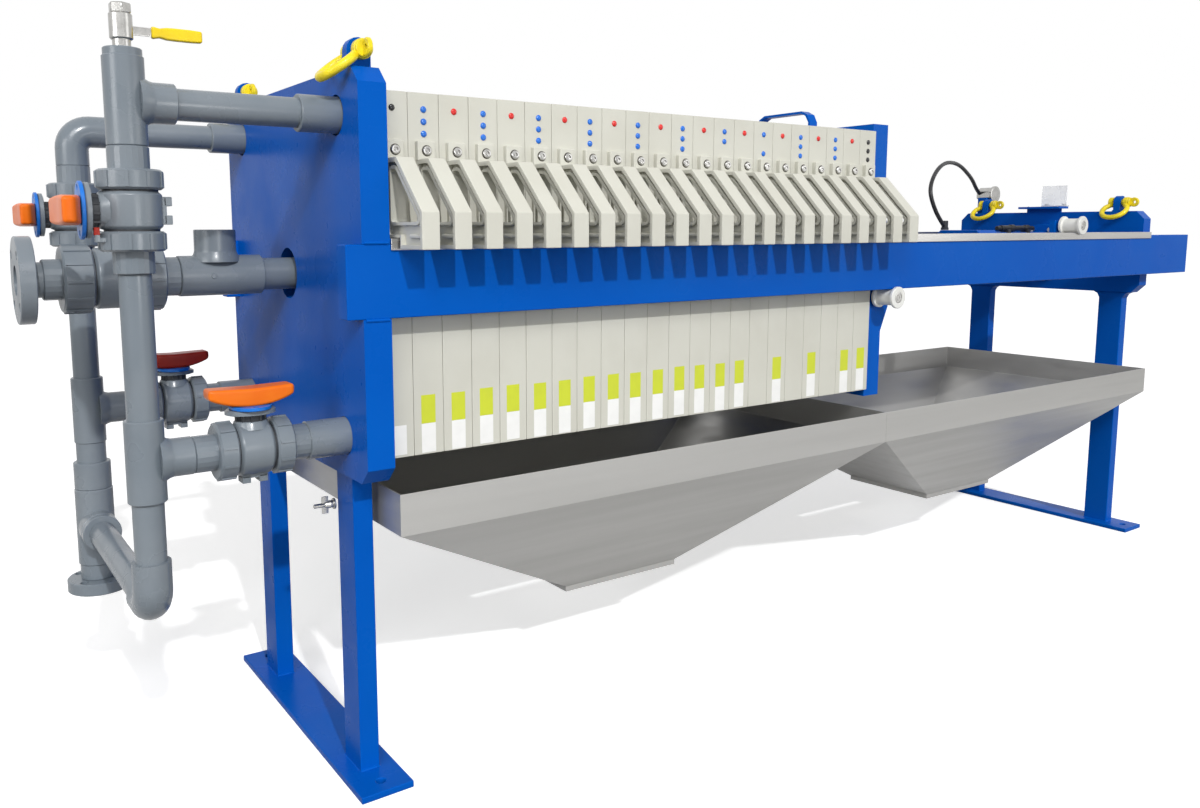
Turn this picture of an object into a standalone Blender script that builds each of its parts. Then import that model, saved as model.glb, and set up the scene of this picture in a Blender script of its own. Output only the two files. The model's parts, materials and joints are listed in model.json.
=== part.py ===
# Plate filter press: a stack of plates squeezed between a fixed head and a moving follower,
# carried on two side beams above drip trays. Metres, +Z up, +X from the head to the tail.
# The origin is under the middle of the head's foot plate, on the floor.
import math

import bmesh
import bpy
from mathutils import Matrix, Vector

# Fits between pieces
GAP = 0.0003
CUT_OVERRUN = 0.004
MERGE = 0.00005

# Filter plates, hung on the rails by a grip at each side
AXIS_Z = 0.916
PLATE_SIZE = 0.630
PLATE_PITCH = 0.059
PLATE_COUNT = 22
PLATE_EDGE = 0.0025
PLATE_SIDE_GAP = 0.007
PORT_INSET_Y = 0.050
PORT_INSET_Z = 0.0415
HANDLE_WIDTH = 0.032
HANDLE_RISE = 0.1335
HANDLE_SHELF = 0.047
HANDLE_REACH = 0.138
HANDLE_KNEE_RISE = 0.0425
HANDLE_LIP_DROP = 0.018
HANDLE_WALL = 0.015
HANDLE_TAB_WIDTH = 0.034
HANDLE_TAB_HEIGHT = 0.034
HANDLE_TAB_PROUD = 0.006
FOOT_CLEAR = 0.005

# Fixed head
HEAD_FACE_X = 0.022
HEAD_THICK = 0.050
HEAD_MARGIN = 0.031
HEAD_CHAMFER = 0.027
PORT_HOLE = 0.068
FEED_HOLE = 0.098

# Side beams and their rails
BEAM_WIDTH = 0.039
BEAM_DROP = 0.064
BEAM_HEIGHT = 0.1235
BEAM_HEAD_OVERHANG = 0.028
BEAM_TAIL_OVERHANG = 0.177
RAIL_THICK = 0.0095
RAIL_LIP = 0.004
RAIL_LIP_HEIGHT = 0.0195
RAIL_TAIL_GAP = 0.039

# Tail plate, and the bracket on its top edge
OPENING_LENGTH = 1.2844
TAIL_THICK = 0.045
TAIL_RISE = 0.136
TAIL_DROP = 0.127
TAIL_CHAMFER = 0.025
BRACKET_DEPTH = 0.060
BRACKET_FROM_Y = 0.060
BRACKET_TO_Y = 0.085
BRACKET_RISE = 0.012
BRACKET_THICK = 0.007
BRACKET_WEB = 0.006

# Stands
LEG_Y = 0.232
LEG_WIDTH = 0.074
LEG_THICK = 0.037
LEG_FLARE = 0.020
FOOT_OVERHANG = 0.079
FOOT_WIDTH = 0.100
FOOT_THICK = 0.0127
FOOT_HOLE = 0.018
FOOT_HOLE_INSET = 0.034

# Drip trays
TRAY_LEG_GAP = 0.013
TRAY_INSET = 0.0034
TRAY_CLEAR = 0.054
TRAY_DEPTH = 0.352
TRAY_RIM = 0.075
TRAY_WALL = 0.003
OUTLET_LENGTH = 0.320
OUTLET_WIDTH = 0.280
OUTLET_COLLAR = 0.012

# Lifting lugs and bow shackles
LUG_THICK = 0.019
LUG_WIDTH = 0.042
LUG_HEIGHT = 0.050
LUG_ROOT = 0.004
LUG_PLAY = 0.0004
HEAD_LUG_INSET = 0.059
TAIL_LUG_INSET = 0.090
BOW_BAR = 0.0155
BOW_INSIDE = 0.058
BOW_THROAT = 0.030
BOW_LENGTH = 0.085
BOW_EYE = 0.033
PIN_DIAMETER = 0.019
PIN_COLLAR = 0.030
PIN_COLLAR_THICK = 0.005
PIN_SPADE = 0.030
PIN_SPADE_THICK = 0.008
PIN_SPADE_HOLE = 0.010

# Follower, its side arms and its spool rollers
FOLLOWER_THICK = 0.055
FOLLOWER_MARGIN = 0.018
FOLLOWER_SIDE_GAP = 0.016
ARM_THICK = 0.016
ARM_HEIGHT = 0.060
ARM_RISE = 0.010
ARM_REACH = 0.8144
FRONT_ROLLER_SET = 0.0317
GUSSET_REACH = 0.026
GUSSET_DROP = 0.098
GUSSET_SLOPE = 0.070
ROLLER_FLANGE = 0.053
ROLLER_CORE = 0.040
ROLLER_FLANGE_WIDTH = 0.008
ROLLER_PLAY = 0.001
ROLLER_JOURNAL = 0.018
ROLLER_JOURNAL_LENGTH = 0.018
ROLLER_BOSS = 0.030
HOOP_WIDTH = 0.190
HOOP_RISE = 0.054
HOOP_THICK = 0.006
HOOP_DEPTH = 0.028
HOOP_CORNER = 0.030

# Hydraulic cylinder and rod
CYLINDER_LENGTH = 0.5097
CYLINDER_DIAMETER = 0.140
CYLINDER_BORE = 0.078
CYLINDER_HEAD_LENGTH = 0.100
CYLINDER_HEAD_SIZE = 0.152
CYLINDER_HEAD_CUT = 0.012
CYLINDER_FLANGE = 0.190
CYLINDER_FLANGE_THICK = 0.022
ROD_DIAMETER = 0.070
ROD_FLANGE = 0.130
ROD_FLANGE_THICK = 0.020
STROKE = 0.420

# Plastic pipework at the head
RISER_OFFSET = 0.328
PIPE_OD = 0.0483
TEE_OD = 0.059
TEE_LENGTH = 0.131
TEE_BRANCH = 0.070
HUB_OD = 0.061
COUPLING_OUT = 0.067
BUSHING_OD = 0.066
COLLAR_OD = 0.055
COLLAR_LENGTH = 0.011
ELBOW_OD = 0.060
ELBOW_BEND = 0.034
ELBOW_LEG = 0.075
ELBOW_REACH = 0.062
REDUCER_OD = 0.055
REDUCER_LENGTH = 0.040
SLEEVE_OD = 0.069
SLEEVE_LENGTH = 0.054
LOW_TEE_OD = 0.071
LOW_TEE_LENGTH = 0.155
FLANGE_HUB_OD = 0.066
FLANGE_HUB_LENGTH = 0.031
FLANGE_OD = 0.118
FLANGE_THICK = 0.024
FLANGE_HOLE = 0.016
FLANGE_CIRCLE = 0.092
FLANGE_HOLES = 4
DRAIN_BORE = 0.040
DRAIN_BORE_DEPTH = 0.060

# Ball valves with union nuts, and their handles
VALVE_BODY_OD = 0.089
VALVE_BODY = 0.062
VALVE_NUT_OD = 0.099
VALVE_NUT = 0.030
VALVE_SOCKET_OD = 0.060
VALVE_SOCKET = 0.034
STEM_NECK_OD = 0.052
STEM_FLANGE_OD = 0.080
STEM_FLANGE = 0.007
STEM_RISE = 0.066
PAD_LENGTH = 0.014
PAD_SPACING = 0.028
PAD_WIDTH = 0.026
PAD_PROUD = 0.012
DISC_OD = 0.086
DISC_THICK = 0.006
BAR_LENGTH = 0.140
BAR_THICK = 0.022
BAR_HEIGHT = 0.031
BAR_END = 0.016
BAR_TIP = 0.006
BAR_ROOT = 0.052
SPIGOT_OD = 0.020
SPIGOT_DEPTH = 0.016
SPIGOT_PLAY = 0.0005

# Feed line
FEED_PIPE_OD = 0.0603
FEED_PIPE_OUT = 0.055
FEED_TEE_OD = 0.074
FEED_TEE_LENGTH = 0.150
FEED_TEE_RISE = 0.084
FEED_TEE_OFFSET = 0.006
FEED_SOCKET_OD = 0.070
FEED_SOCKET = 0.028
FEED_NUT_OD = 0.120
FEED_NUT = 0.048
FEED_BODY_OD = 0.106
FEED_BODY = 0.068
FEED_NECK = 0.014
FEED_FLANGE_OD = 0.148
FEED_FLANGE = 0.025
FEED_FLANGE_CIRCLE = 0.120
FEED_BORE = 0.052
FEED_BORE_DEPTH = 0.060

# Air valve on the near riser
AIR_NECK_OD = 0.026
AIR_NECK = 0.012
AIR_BODY_OD = 0.033
AIR_BODY = 0.038
AIR_HEX = 0.028
AIR_HEX_HEIGHT = 0.014
AIR_STEM_OD = 0.010
AIR_STEM_OUT = 0.0055
LEVER_LENGTH = 0.122
LEVER_THICK = 0.003
LEVER_WIDTH = 0.013
LEVER_HUB = 0.007
SLEEVED_LENGTH = 0.075
GRIP_THICK = 0.011
GRIP_WIDTH = 0.019

# Hydraulic hose over the tail; its route is one smooth line through these spots
HOSE_DIAMETER = 0.0130
HOSE_SPOTS = (
    (2.175, 0.065, 1.001), (2.128, 0.068, 1.052), (2.110, 0.078, 1.111), (2.144, 0.095, 1.159),
    (2.226, 0.125, 1.201), (2.328, 0.160, 1.219), (2.458, 0.205, 1.213), (2.597, 0.252, 1.178),
    (2.683, 0.283, 1.142), (2.735, 0.297, 1.120),
)
HOSE_COLLAR_OD = 0.020
HOSE_COLLAR = 0.018
HOSE_FITTING_BACK = 0.037
HOSE_FITTING_RISE = 0.070
HOSE_FITTING_INSET = 0.017
HOSE_FITTING_LENGTH = 0.065
FITTING_HEX = 0.046
FITTING_CAP_OD = 0.060
FITTING_CAP = 0.012
FITTING_POST = 0.034
FITTING_POST_DROP = 0.062


def clear_scene():
    for item in list(bpy.data.objects):
        bpy.data.objects.remove(item, do_unlink=True)


def make_material(name, colour, roughness, metallic):
    material = bpy.data.materials.new(name)
    material.use_nodes = True
    shader = material.node_tree.nodes["Principled BSDF"]
    shader.inputs["Base Color"].default_value = (*colour, 1.0)
    shader.inputs["Roughness"].default_value = roughness
    shader.inputs["Metallic"].default_value = metallic
    return material


clear_scene()
BLUE_PAINT = make_material("blue_paint", (0.005, 0.07, 0.42), 0.35, 0.0)
POLYPROPYLENE = make_material("polypropylene", (0.70, 0.69, 0.60), 0.45, 0.0)
STAINLESS = make_material("stainless", (0.62, 0.61, 0.58), 0.30, 1.0)
GREY_PVC = make_material("grey_pvc", (0.14, 0.16, 0.18), 0.40, 0.0)
YELLOW_PAINT = make_material("yellow_paint", (0.85, 0.68, 0.02), 0.40, 0.0)
ORANGE_PLASTIC = make_material("orange_plastic", (0.85, 0.20, 0.01), 0.40, 0.0)
RED_PLASTIC = make_material("red_plastic", (0.40, 0.03, 0.02), 0.40, 0.0)
YELLOW_SLEEVE = make_material("yellow_sleeve", (0.80, 0.72, 0.03), 0.45, 0.0)
WHITE_NYLON = make_material("white_nylon", (0.80, 0.80, 0.76), 0.40, 0.0)
BLACK_RUBBER = make_material("black_rubber", (0.02, 0.02, 0.02), 0.60, 0.0)
CHROME_STEEL = make_material("chrome_steel", (0.75, 0.75, 0.75), 0.12, 1.0)


def new_object(name, mesh, material=None):
    made = bpy.data.objects.new(name, mesh)
    bpy.context.scene.collection.objects.link(made)
    if material is not None:
        made.data.materials.clear()
        made.data.materials.append(material)
    return made


def mesh_from(work, name):
    bmesh.ops.recalc_face_normals(work, faces=work.faces)
    mesh = bpy.data.meshes.new(name)
    work.to_mesh(mesh)
    work.free()
    return mesh


def axis_frame(axis):
    """Columns that send a section's two directions and its length to world axes."""
    if axis == "X":
        return Matrix(((0, 0, 1), (1, 0, 0), (0, 1, 0)))
    if axis == "Y":
        return Matrix(((1, 0, 0), (0, 0, 1), (0, 1, 0)))
    return Matrix(((1, 0, 0), (0, 1, 0), (0, 0, 1)))


def prism(points, axis, start, end, name="section"):
    """A flat outline, in the plane across axis, drawn out from start to end."""
    work = bmesh.new()
    turn = axis_frame(axis)
    low = [work.verts.new(turn @ Vector((a, b, start))) for a, b in points]
    high = [work.verts.new(turn @ Vector((a, b, end))) for a, b in points]
    work.faces.new(low)
    work.faces.new(high)
    for index in range(len(points)):
        after = (index + 1) % len(points)
        work.faces.new((low[index], low[after], high[after], high[index]))
    return mesh_from(work, name)


def box(x_range, y_range, z_range, name="block"):
    (x0, x1), (y0, y1), (z0, z1) = x_range, y_range, z_range
    return prism([(x0, y0), (x1, y0), (x1, y1), (x0, y1)], "Z", z0, z1, name)


def rectangle(a0, a1, b0, b1):
    return [(a0, b0), (a1, b0), (a1, b1), (a0, b1)]


def chamfered(a_half, b0, b1, low_cut, high_cut):
    """A rectangle outline centred on the first direction, with cut corners."""
    return [
        (-a_half, b0 + low_cut), (-a_half + low_cut, b0), (a_half - low_cut, b0), (a_half, b0 + low_cut),
        (a_half, b1 - high_cut), (a_half - high_cut, b1), (-a_half + high_cut, b1), (-a_half, b1 - high_cut),
    ]


def circle(radius, segments, centre=(0.0, 0.0), start=0.0):
    return [
        (
            centre[0] + radius * math.cos(start + math.tau * step / segments),
            centre[1] + radius * math.sin(start + math.tau * step / segments),
        )
        for step in range(segments)
    ]


def turned(profile, axis, centre, segments=20, name="turned"):
    """A solid of revolution; profile is (along, radius) pairs from one end to the other."""
    work = bmesh.new()
    turn = axis_frame(axis)
    middle = Vector(centre)
    rings = []
    for along, radius in profile:
        ring = [
            work.verts.new(middle + turn @ Vector((a, b, along))) for a, b in circle(radius, segments)
        ]
        rings.append(ring)
    work.faces.new(rings[0])
    work.faces.new(rings[-1])
    for low, high in zip(rings, rings[1:]):
        for index in range(segments):
            after = (index + 1) % segments
            work.faces.new((low[index], low[after], high[after], high[index]))
    return mesh_from(work, name)


def stacked(axis, start, rows, centre, segments=20, sign=1):
    """A stepped round solid: each row is (length, diameter), laid end to end from start."""
    profile = []
    place = start
    for length, diameter in rows:
        profile.append((place, diameter / 2))
        place += sign * length
        profile.append((place, diameter / 2))
    return turned(profile, axis, centre, segments)


def run_length(rows):
    return sum(length for length, diameter in rows)


def rod(axis, start, end, diameter, centre, segments=16):
    """A plain round bar, post or hole."""
    return turned([(start, diameter / 2), (end, diameter / 2)], axis, centre, segments)


def tube_along(points, radius, sides=8, name="tube"):
    """A round bar along a list of points, with flat ends."""
    work = bmesh.new()
    spots = [Vector(point) for point in points]
    rings = []
    normal = None
    for index, spot in enumerate(spots):
        before = spots[max(index - 1, 0)]
        after = spots[min(index + 1, len(spots) - 1)]
        direction = (after - before).normalized()
        if normal is None:
            helper = Vector((0, 0, 1)) if abs(direction.z) < abs(direction.x) + abs(direction.y) else Vector((1, 0, 0))
            normal = direction.cross(helper).normalized()
        normal = (normal - direction * normal.dot(direction)).normalized()
        side = direction.cross(normal)
        rings.append([
            work.verts.new(spot + normal * a + side * b) for a, b in circle(radius, sides)
        ])
    work.faces.new(rings[0])
    work.faces.new(rings[-1])
    for low, high in zip(rings, rings[1:]):
        for index in range(sides):
            after = (index + 1) % sides
            work.faces.new((low[index], low[after], high[after], high[index]))
    return mesh_from(work, name)


def combine(name, base, material, add=(), cut=()):
    """Joins meshes to a base and cuts others from it, as one closed solid."""
    made = new_object(name, base, material)
    helpers = []
    for operation, meshes in (("UNION", add), ("DIFFERENCE", cut)):
        for index, mesh in enumerate(meshes):
            helper = new_object(f"{name}_{operation.lower()}_{index}", mesh)
            helper.hide_render = True
            helper.display_type = "WIRE"
            helpers.append(helper)
            change = made.modifiers.new(f"{operation.lower()}_{index}", "BOOLEAN")
            change.operation = operation
            change.solver = "EXACT"
            change.object = helper
    if helpers:
        bpy.context.view_layer.update()
        seen = made.evaluated_get(bpy.context.evaluated_depsgraph_get())
        final = bpy.data.meshes.new_from_object(seen)
        made.modifiers.clear()
        made.data = final
        for helper in helpers:
            bpy.data.objects.remove(helper, do_unlink=True)
        clean = bmesh.new()
        clean.from_mesh(made.data)
        bmesh.ops.remove_doubles(clean, verts=clean.verts, dist=MERGE)
        bmesh.ops.dissolve_degenerate(clean, edges=clean.edges, dist=MERGE)
        clean.to_mesh(made.data)
        clean.free()
        made.data.materials.clear()
        made.data.materials.append(material)
    return made


def moved(mesh, shift):
    mesh.transform(Matrix.Translation(Vector(shift)))
    return mesh


def hinge_parent(piece, pivot):
    """Puts a moving piece's origin on its joint axis."""
    piece.data.transform(Matrix.Translation(-Vector(pivot)))
    piece.location = pivot
    return piece


# Sizes and places that follow from the values above
PLATE_HALF = PLATE_SIZE / 2
PLATE_BOTTOM = AXIS_Z - PLATE_HALF
PORT_Y = PLATE_HALF - PORT_INSET_Y
PORT_HIGH = AXIS_Z + PLATE_HALF - PORT_INSET_Z
PORT_LOW = AXIS_Z - PLATE_HALF + PORT_INSET_Z
BEAM_INNER_Y = PLATE_HALF + PLATE_SIDE_GAP
BEAM_OUTER_Y = BEAM_INNER_Y + BEAM_WIDTH
BEAM_BOTTOM = AXIS_Z - BEAM_DROP
BEAM_TOP = BEAM_BOTTOM + BEAM_HEIGHT
RAIL_TOP = BEAM_TOP + RAIL_THICK
RAIL_OUTER_Y = BEAM_OUTER_Y + GAP + RAIL_LIP
LIP_INNER_Y = RAIL_OUTER_Y + FOOT_CLEAR
HEAD_BACK_X = HEAD_FACE_X - HEAD_THICK
HEAD_LOW = PLATE_BOTTOM - HEAD_MARGIN
HEAD_HIGH = AXIS_Z + PLATE_HALF + HEAD_MARGIN
SEAT_X = HEAD_FACE_X - GAP / 2
STACK_END_X = HEAD_FACE_X + PLATE_COUNT * PLATE_PITCH
FOLLOWER_FACE_X = STACK_END_X + GAP
FOLLOWER_BACK_X = FOLLOWER_FACE_X + FOLLOWER_THICK
FOLLOWER_LOW = PLATE_BOTTOM - FOLLOWER_MARGIN
FOLLOWER_HIGH = AXIS_Z + PLATE_HALF + FOLLOWER_MARGIN
FOLLOWER_HALF_WIDTH = BEAM_INNER_Y - FOLLOWER_SIDE_GAP
TAIL_X = FOLLOWER_BACK_X + OPENING_LENGTH
TAIL_BACK_X = TAIL_X + TAIL_THICK
TAIL_LEG_X = TAIL_X + TAIL_THICK / 2
FOOT_LENGTH = 2 * (LEG_Y + LEG_WIDTH / 2 + FOOT_OVERHANG)
TAIL_TOP = AXIS_Z + TAIL_RISE
TAIL_BOTTOM = AXIS_Z - TAIL_DROP
RAIL_END_X = TAIL_X - RAIL_TAIL_GAP
TRAY_TOP = PLATE_BOTTOM - TRAY_CLEAR
TRAY_HALF_WIDTH = BEAM_OUTER_Y - TRAY_INSET
TRAY_START_X = LEG_THICK / 2 + TRAY_LEG_GAP
OUTLET_Z = TRAY_TOP - TRAY_DEPTH
HEAD_LUG_Y = BEAM_OUTER_Y - HEAD_LUG_INSET
TAIL_LUG_Y = BEAM_INNER_Y - TAIL_LUG_INSET
LUG_PIN_RISE = LUG_HEIGHT - LUG_WIDTH / 2
LUG_HOLE = PIN_DIAMETER + 2 * LUG_PLAY
ROLLER_LOW_Z = BEAM_BOTTOM - ROLLER_CORE / 2 - GAP
ROLLER_HIGH_Z = RAIL_TOP + ROLLER_CORE / 2 + GAP
FRONT_ROLLER_X = FOLLOWER_FACE_X + FRONT_ROLLER_SET
REAR_ROLLER_X = FOLLOWER_BACK_X + ARM_REACH
ARM_Z = AXIS_Z + ARM_RISE
CYLINDER_HEAD_X = TAIL_X - GAP - CYLINDER_LENGTH
VALVE_ROWS = (
    (VALVE_SOCKET, VALVE_SOCKET_OD), (VALVE_NUT, VALVE_NUT_OD), (VALVE_BODY, VALVE_BODY_OD),
    (VALVE_NUT, VALVE_NUT_OD), (VALVE_SOCKET, VALVE_SOCKET_OD),
)
VALVE_HALF = VALVE_SOCKET + VALVE_NUT + VALVE_BODY / 2
RISER_X = HEAD_BACK_X - RISER_OFFSET
RISER_Y = PORT_Y
RISER_VALVE_Z = PORT_HIGH - TEE_LENGTH / 2 - GAP - VALVE_HALF
DRAIN_VALVE_X = RISER_X + TEE_BRANCH + GAP + VALVE_HALF
CROSS_Z = PORT_LOW - TEE_LENGTH / 2 - REDUCER_LENGTH - SLEEVE_LENGTH - LOW_TEE_LENGTH / 2
FEED_TEE_END_X = HEAD_BACK_X - FEED_PIPE_OUT
FEED_VALVE_START_X = FEED_TEE_END_X - FEED_TEE_LENGTH - GAP


def mirrored(points, flip):
    return [(-a, b) for a, b in points] if flip else list(points)


def as_mesh(made):
    """The mesh of a finished piece, for use as a part of a larger one."""
    mesh = made.data.copy()
    bpy.data.objects.remove(made, do_unlink=True)
    return mesh


def lifting_lug(x, y, base):
    """An upright lug on a plate's top edge, round-topped, with its pin hole."""
    half = LUG_WIDTH / 2
    rise = base + LUG_PIN_RISE
    arc = [
        (x + half * math.cos(math.pi * step / 8), rise + half * math.sin(math.pi * step / 8))
        for step in range(9)
    ]
    outline = arc + [(x - half, base - LUG_ROOT), (x + half, base - LUG_ROOT)]
    body = prism(outline, "Y", y - LUG_THICK / 2, y + LUG_THICK / 2)
    hole = rod("Y", y - LUG_THICK, y + LUG_THICK, LUG_HOLE, (x, 0, rise), 14)
    return as_mesh(combine("work_lug", body, BLUE_PAINT, (), [hole]))


def head_plate():
    half = BEAM_OUTER_Y
    notch = BEAM_INNER_Y - GAP
    low, high = BEAM_BOTTOM - GAP, BEAM_TOP + GAP
    right = [
        (half - HEAD_CHAMFER, HEAD_LOW), (half, HEAD_LOW + HEAD_CHAMFER), (half, low), (notch, low),
        (notch, high), (half, high), (half, HEAD_HIGH - HEAD_CHAMFER), (half - HEAD_CHAMFER, HEAD_HIGH),
    ]
    outline = right + [(-a, b) for a, b in reversed(right)]
    start, end = HEAD_BACK_X - CUT_OVERRUN, HEAD_FACE_X + CUT_OVERRUN
    holes = [
        rod("X", start, end, PORT_HOLE, (0, y, z), 20)
        for y in (-PORT_Y, PORT_Y) for z in (PORT_LOW, PORT_HIGH)
    ]
    holes.append(rod("X", start, end, FEED_HOLE, (0, 0, AXIS_Z), 24))
    middle = (HEAD_FACE_X + HEAD_BACK_X) / 2
    lugs = [lifting_lug(middle, side * HEAD_LUG_Y, HEAD_HIGH) for side in (-1, 1)]
    return combine("head_plate", prism(outline, "X", HEAD_BACK_X, HEAD_FACE_X), BLUE_PAINT, lugs, holes)


def side_beam(name, side):
    y = sorted((side * BEAM_INNER_Y, side * BEAM_OUTER_Y))
    mesh = box((HEAD_BACK_X - BEAM_HEAD_OVERHANG, TAIL_BACK_X + BEAM_TAIL_OVERHANG), y, (BEAM_BOTTOM, BEAM_TOP))
    return combine(name, mesh, BLUE_PAINT)


def rail(name, side):
    """A stainless cap on the beam: a flat top with a lip down the beam's outer face."""
    inner = BEAM_INNER_Y
    edge = BEAM_OUTER_Y + GAP
    outline = [
        (inner, BEAM_TOP + GAP), (edge, BEAM_TOP + GAP), (edge, RAIL_TOP - RAIL_LIP_HEIGHT),
        (RAIL_OUTER_Y, RAIL_TOP - RAIL_LIP_HEIGHT), (RAIL_OUTER_Y, RAIL_TOP), (inner, RAIL_TOP),
    ]
    return combine(name, prism(mirrored(outline, side < 0), "X", HEAD_FACE_X + GAP, RAIL_END_X), STAINLESS)


def stand(name, x, top, flare):
    """Two upright legs on one drilled foot plate; flare widens a leg's top into a fillet."""
    half = LEG_WIDTH / 2
    legs = []
    for side in (-1, 1):
        y = side * LEG_Y
        outline = [
            (y - half, FOOT_THICK / 2), (y + half, FOOT_THICK / 2), (y + half, top - GAP - flare),
            (y + half + flare / 3, top - GAP - flare / 3), (y + half + flare, top - GAP),
            (y - half - flare, top - GAP), (y - half - flare / 3, top - GAP - flare / 3),
            (y - half, top - GAP - flare),
        ] if flare else rectangle(y - half, y + half, FOOT_THICK / 2, top - GAP)
        legs.append(prism(outline, "X", x - LEG_THICK / 2, x + LEG_THICK / 2))
    foot = box((x - FOOT_WIDTH / 2, x + FOOT_WIDTH / 2), (-FOOT_LENGTH / 2, FOOT_LENGTH / 2), (0, FOOT_THICK))
    holes = [
        rod("Z", -CUT_OVERRUN, FOOT_THICK + CUT_OVERRUN, FOOT_HOLE,
            (x, side * (FOOT_LENGTH / 2 - FOOT_HOLE_INSET), 0), 12)
        for side in (-1, 1)
    ]
    return combine(name, foot, BLUE_PAINT, legs, holes)


def tail_plate():
    half = BEAM_INNER_Y - GAP
    outline = [
        (half - TAIL_CHAMFER, TAIL_BOTTOM), (half, TAIL_BOTTOM + TAIL_CHAMFER),
        (half, TAIL_TOP - TAIL_CHAMFER), (half - TAIL_CHAMFER, TAIL_TOP),
    ]
    outline = outline + [(-a, b) for a, b in reversed(outline)]
    middle = TAIL_X + TAIL_THICK / 2
    lugs = [lifting_lug(middle, side * TAIL_LUG_Y, TAIL_TOP) for side in (-1, 1)]
    y = (-BRACKET_FROM_Y, BRACKET_TO_Y)
    base = TAIL_TOP + BRACKET_RISE
    shelf = box((TAIL_X - BRACKET_DEPTH / 2, TAIL_X + BRACKET_DEPTH / 2), y, (base, base + BRACKET_THICK))
    web = box((TAIL_X + BRACKET_WEB, TAIL_X + 2 * BRACKET_WEB),
              (y[0] + 2 * BRACKET_WEB, y[1] - 2 * BRACKET_WEB), (TAIL_TOP - LUG_ROOT, base + BRACKET_THICK / 2))
    return combine("tail_plate", prism(outline, "X", TAIL_X, TAIL_BACK_X), BLUE_PAINT, lugs + [web, shelf])


def bow_lean(half_thick):
    """The angle from upright at which a bow rests on its plate's top front edge."""
    reach = math.hypot(half_thick, LUG_PIN_RISE)
    return math.pi - math.asin((BOW_BAR / 2 + GAP) / reach) - math.atan2(half_thick, LUG_PIN_RISE)


def bow_shackle(name, x, y, z, lean):
    """A bow shackle hung on its lug: the bow with its eyes, and the screw pin with its spade."""
    reach = BOW_THROAT / 2 + BOW_BAR / 2
    wide = BOW_INSIDE / 2 + BOW_BAR / 2
    middle = BOW_LENGTH - BOW_BAR / 2 - wide
    path = [(-reach, 0.0), (-reach, BOW_EYE / 2)]
    steps_round = 12
    for step in range(steps_round + 1):
        angle = math.radians(205.0) - math.radians(230.0) * step / steps_round
        path.append((wide * math.cos(angle), middle + wide * math.sin(angle)))
    path += [(reach, BOW_EYE / 2), (reach, 0.0)]
    direction = Vector((-math.sin(lean), 0.0, math.cos(lean)))
    points = [Vector((0, a, 0)) + direction * b for a, b in path]
    bow = tube_along(points, BOW_BAR / 2, 8)
    parts = [
        rod("Y", side * reach - BOW_BAR / 2, side * reach + BOW_BAR / 2, BOW_EYE, (0, 0, 0), 14)
        for side in (-1, 1)
    ]
    end = reach + BOW_BAR / 2
    collar_end = end + PIN_COLLAR_THICK
    parts.append(rod("Y", -end - GAP, end + GAP, PIN_DIAMETER, (0, 0, 0), 14))
    parts.append(rod("Y", -collar_end, -end + GAP, PIN_COLLAR, (0, 0, 0), 14))
    spade_y = -collar_end - PIN_SPADE / 2 + PIN_COLLAR_THICK
    spade = rod("X", -PIN_SPADE_THICK / 2, PIN_SPADE_THICK / 2, PIN_SPADE, (0, spade_y, 0), 14)
    eye = rod("X", -PIN_SPADE_THICK, PIN_SPADE_THICK, PIN_SPADE_HOLE, (0, spade_y, 0), 8)
    parts.append(as_mesh(combine("work_spade", spade, BLUE_PAINT, (), [eye])))
    made = combine(name, bow, YELLOW_PAINT, parts)
    made.location = (x, y, z)
    return made


def handle_outline(side):
    """The side grip: down a slope to a knee, then to a lip that hooks outside the rail."""
    root = PLATE_HALF - PLATE_EDGE
    under = RAIL_TOP + GAP
    far = PLATE_HALF + HANDLE_REACH
    outer = [
        (root, under), (LIP_INNER_Y, under), (LIP_INNER_Y, RAIL_TOP - HANDLE_LIP_DROP),
        (far, RAIL_TOP - HANDLE_LIP_DROP), (far, RAIL_TOP + HANDLE_KNEE_RISE),
        (PLATE_HALF + HANDLE_SHELF, RAIL_TOP + HANDLE_RISE), (root, RAIL_TOP + HANDLE_RISE),
    ]
    return mirrored(outer, side < 0)


def handle_window(side):
    """The finger opening inside the grip's rim."""
    wall = HANDLE_WALL
    root = PLATE_HALF + wall
    far = PLATE_HALF + HANDLE_REACH - wall
    top = RAIL_TOP + HANDLE_RISE - wall
    inner = [
        (root, RAIL_TOP + wall), (far, RAIL_TOP + wall), (far, RAIL_TOP + HANDLE_KNEE_RISE - wall / 3),
        (PLATE_HALF + HANDLE_SHELF - wall / 3, top), (root, top),
    ]
    return mirrored(inner, side < 0)


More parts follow.
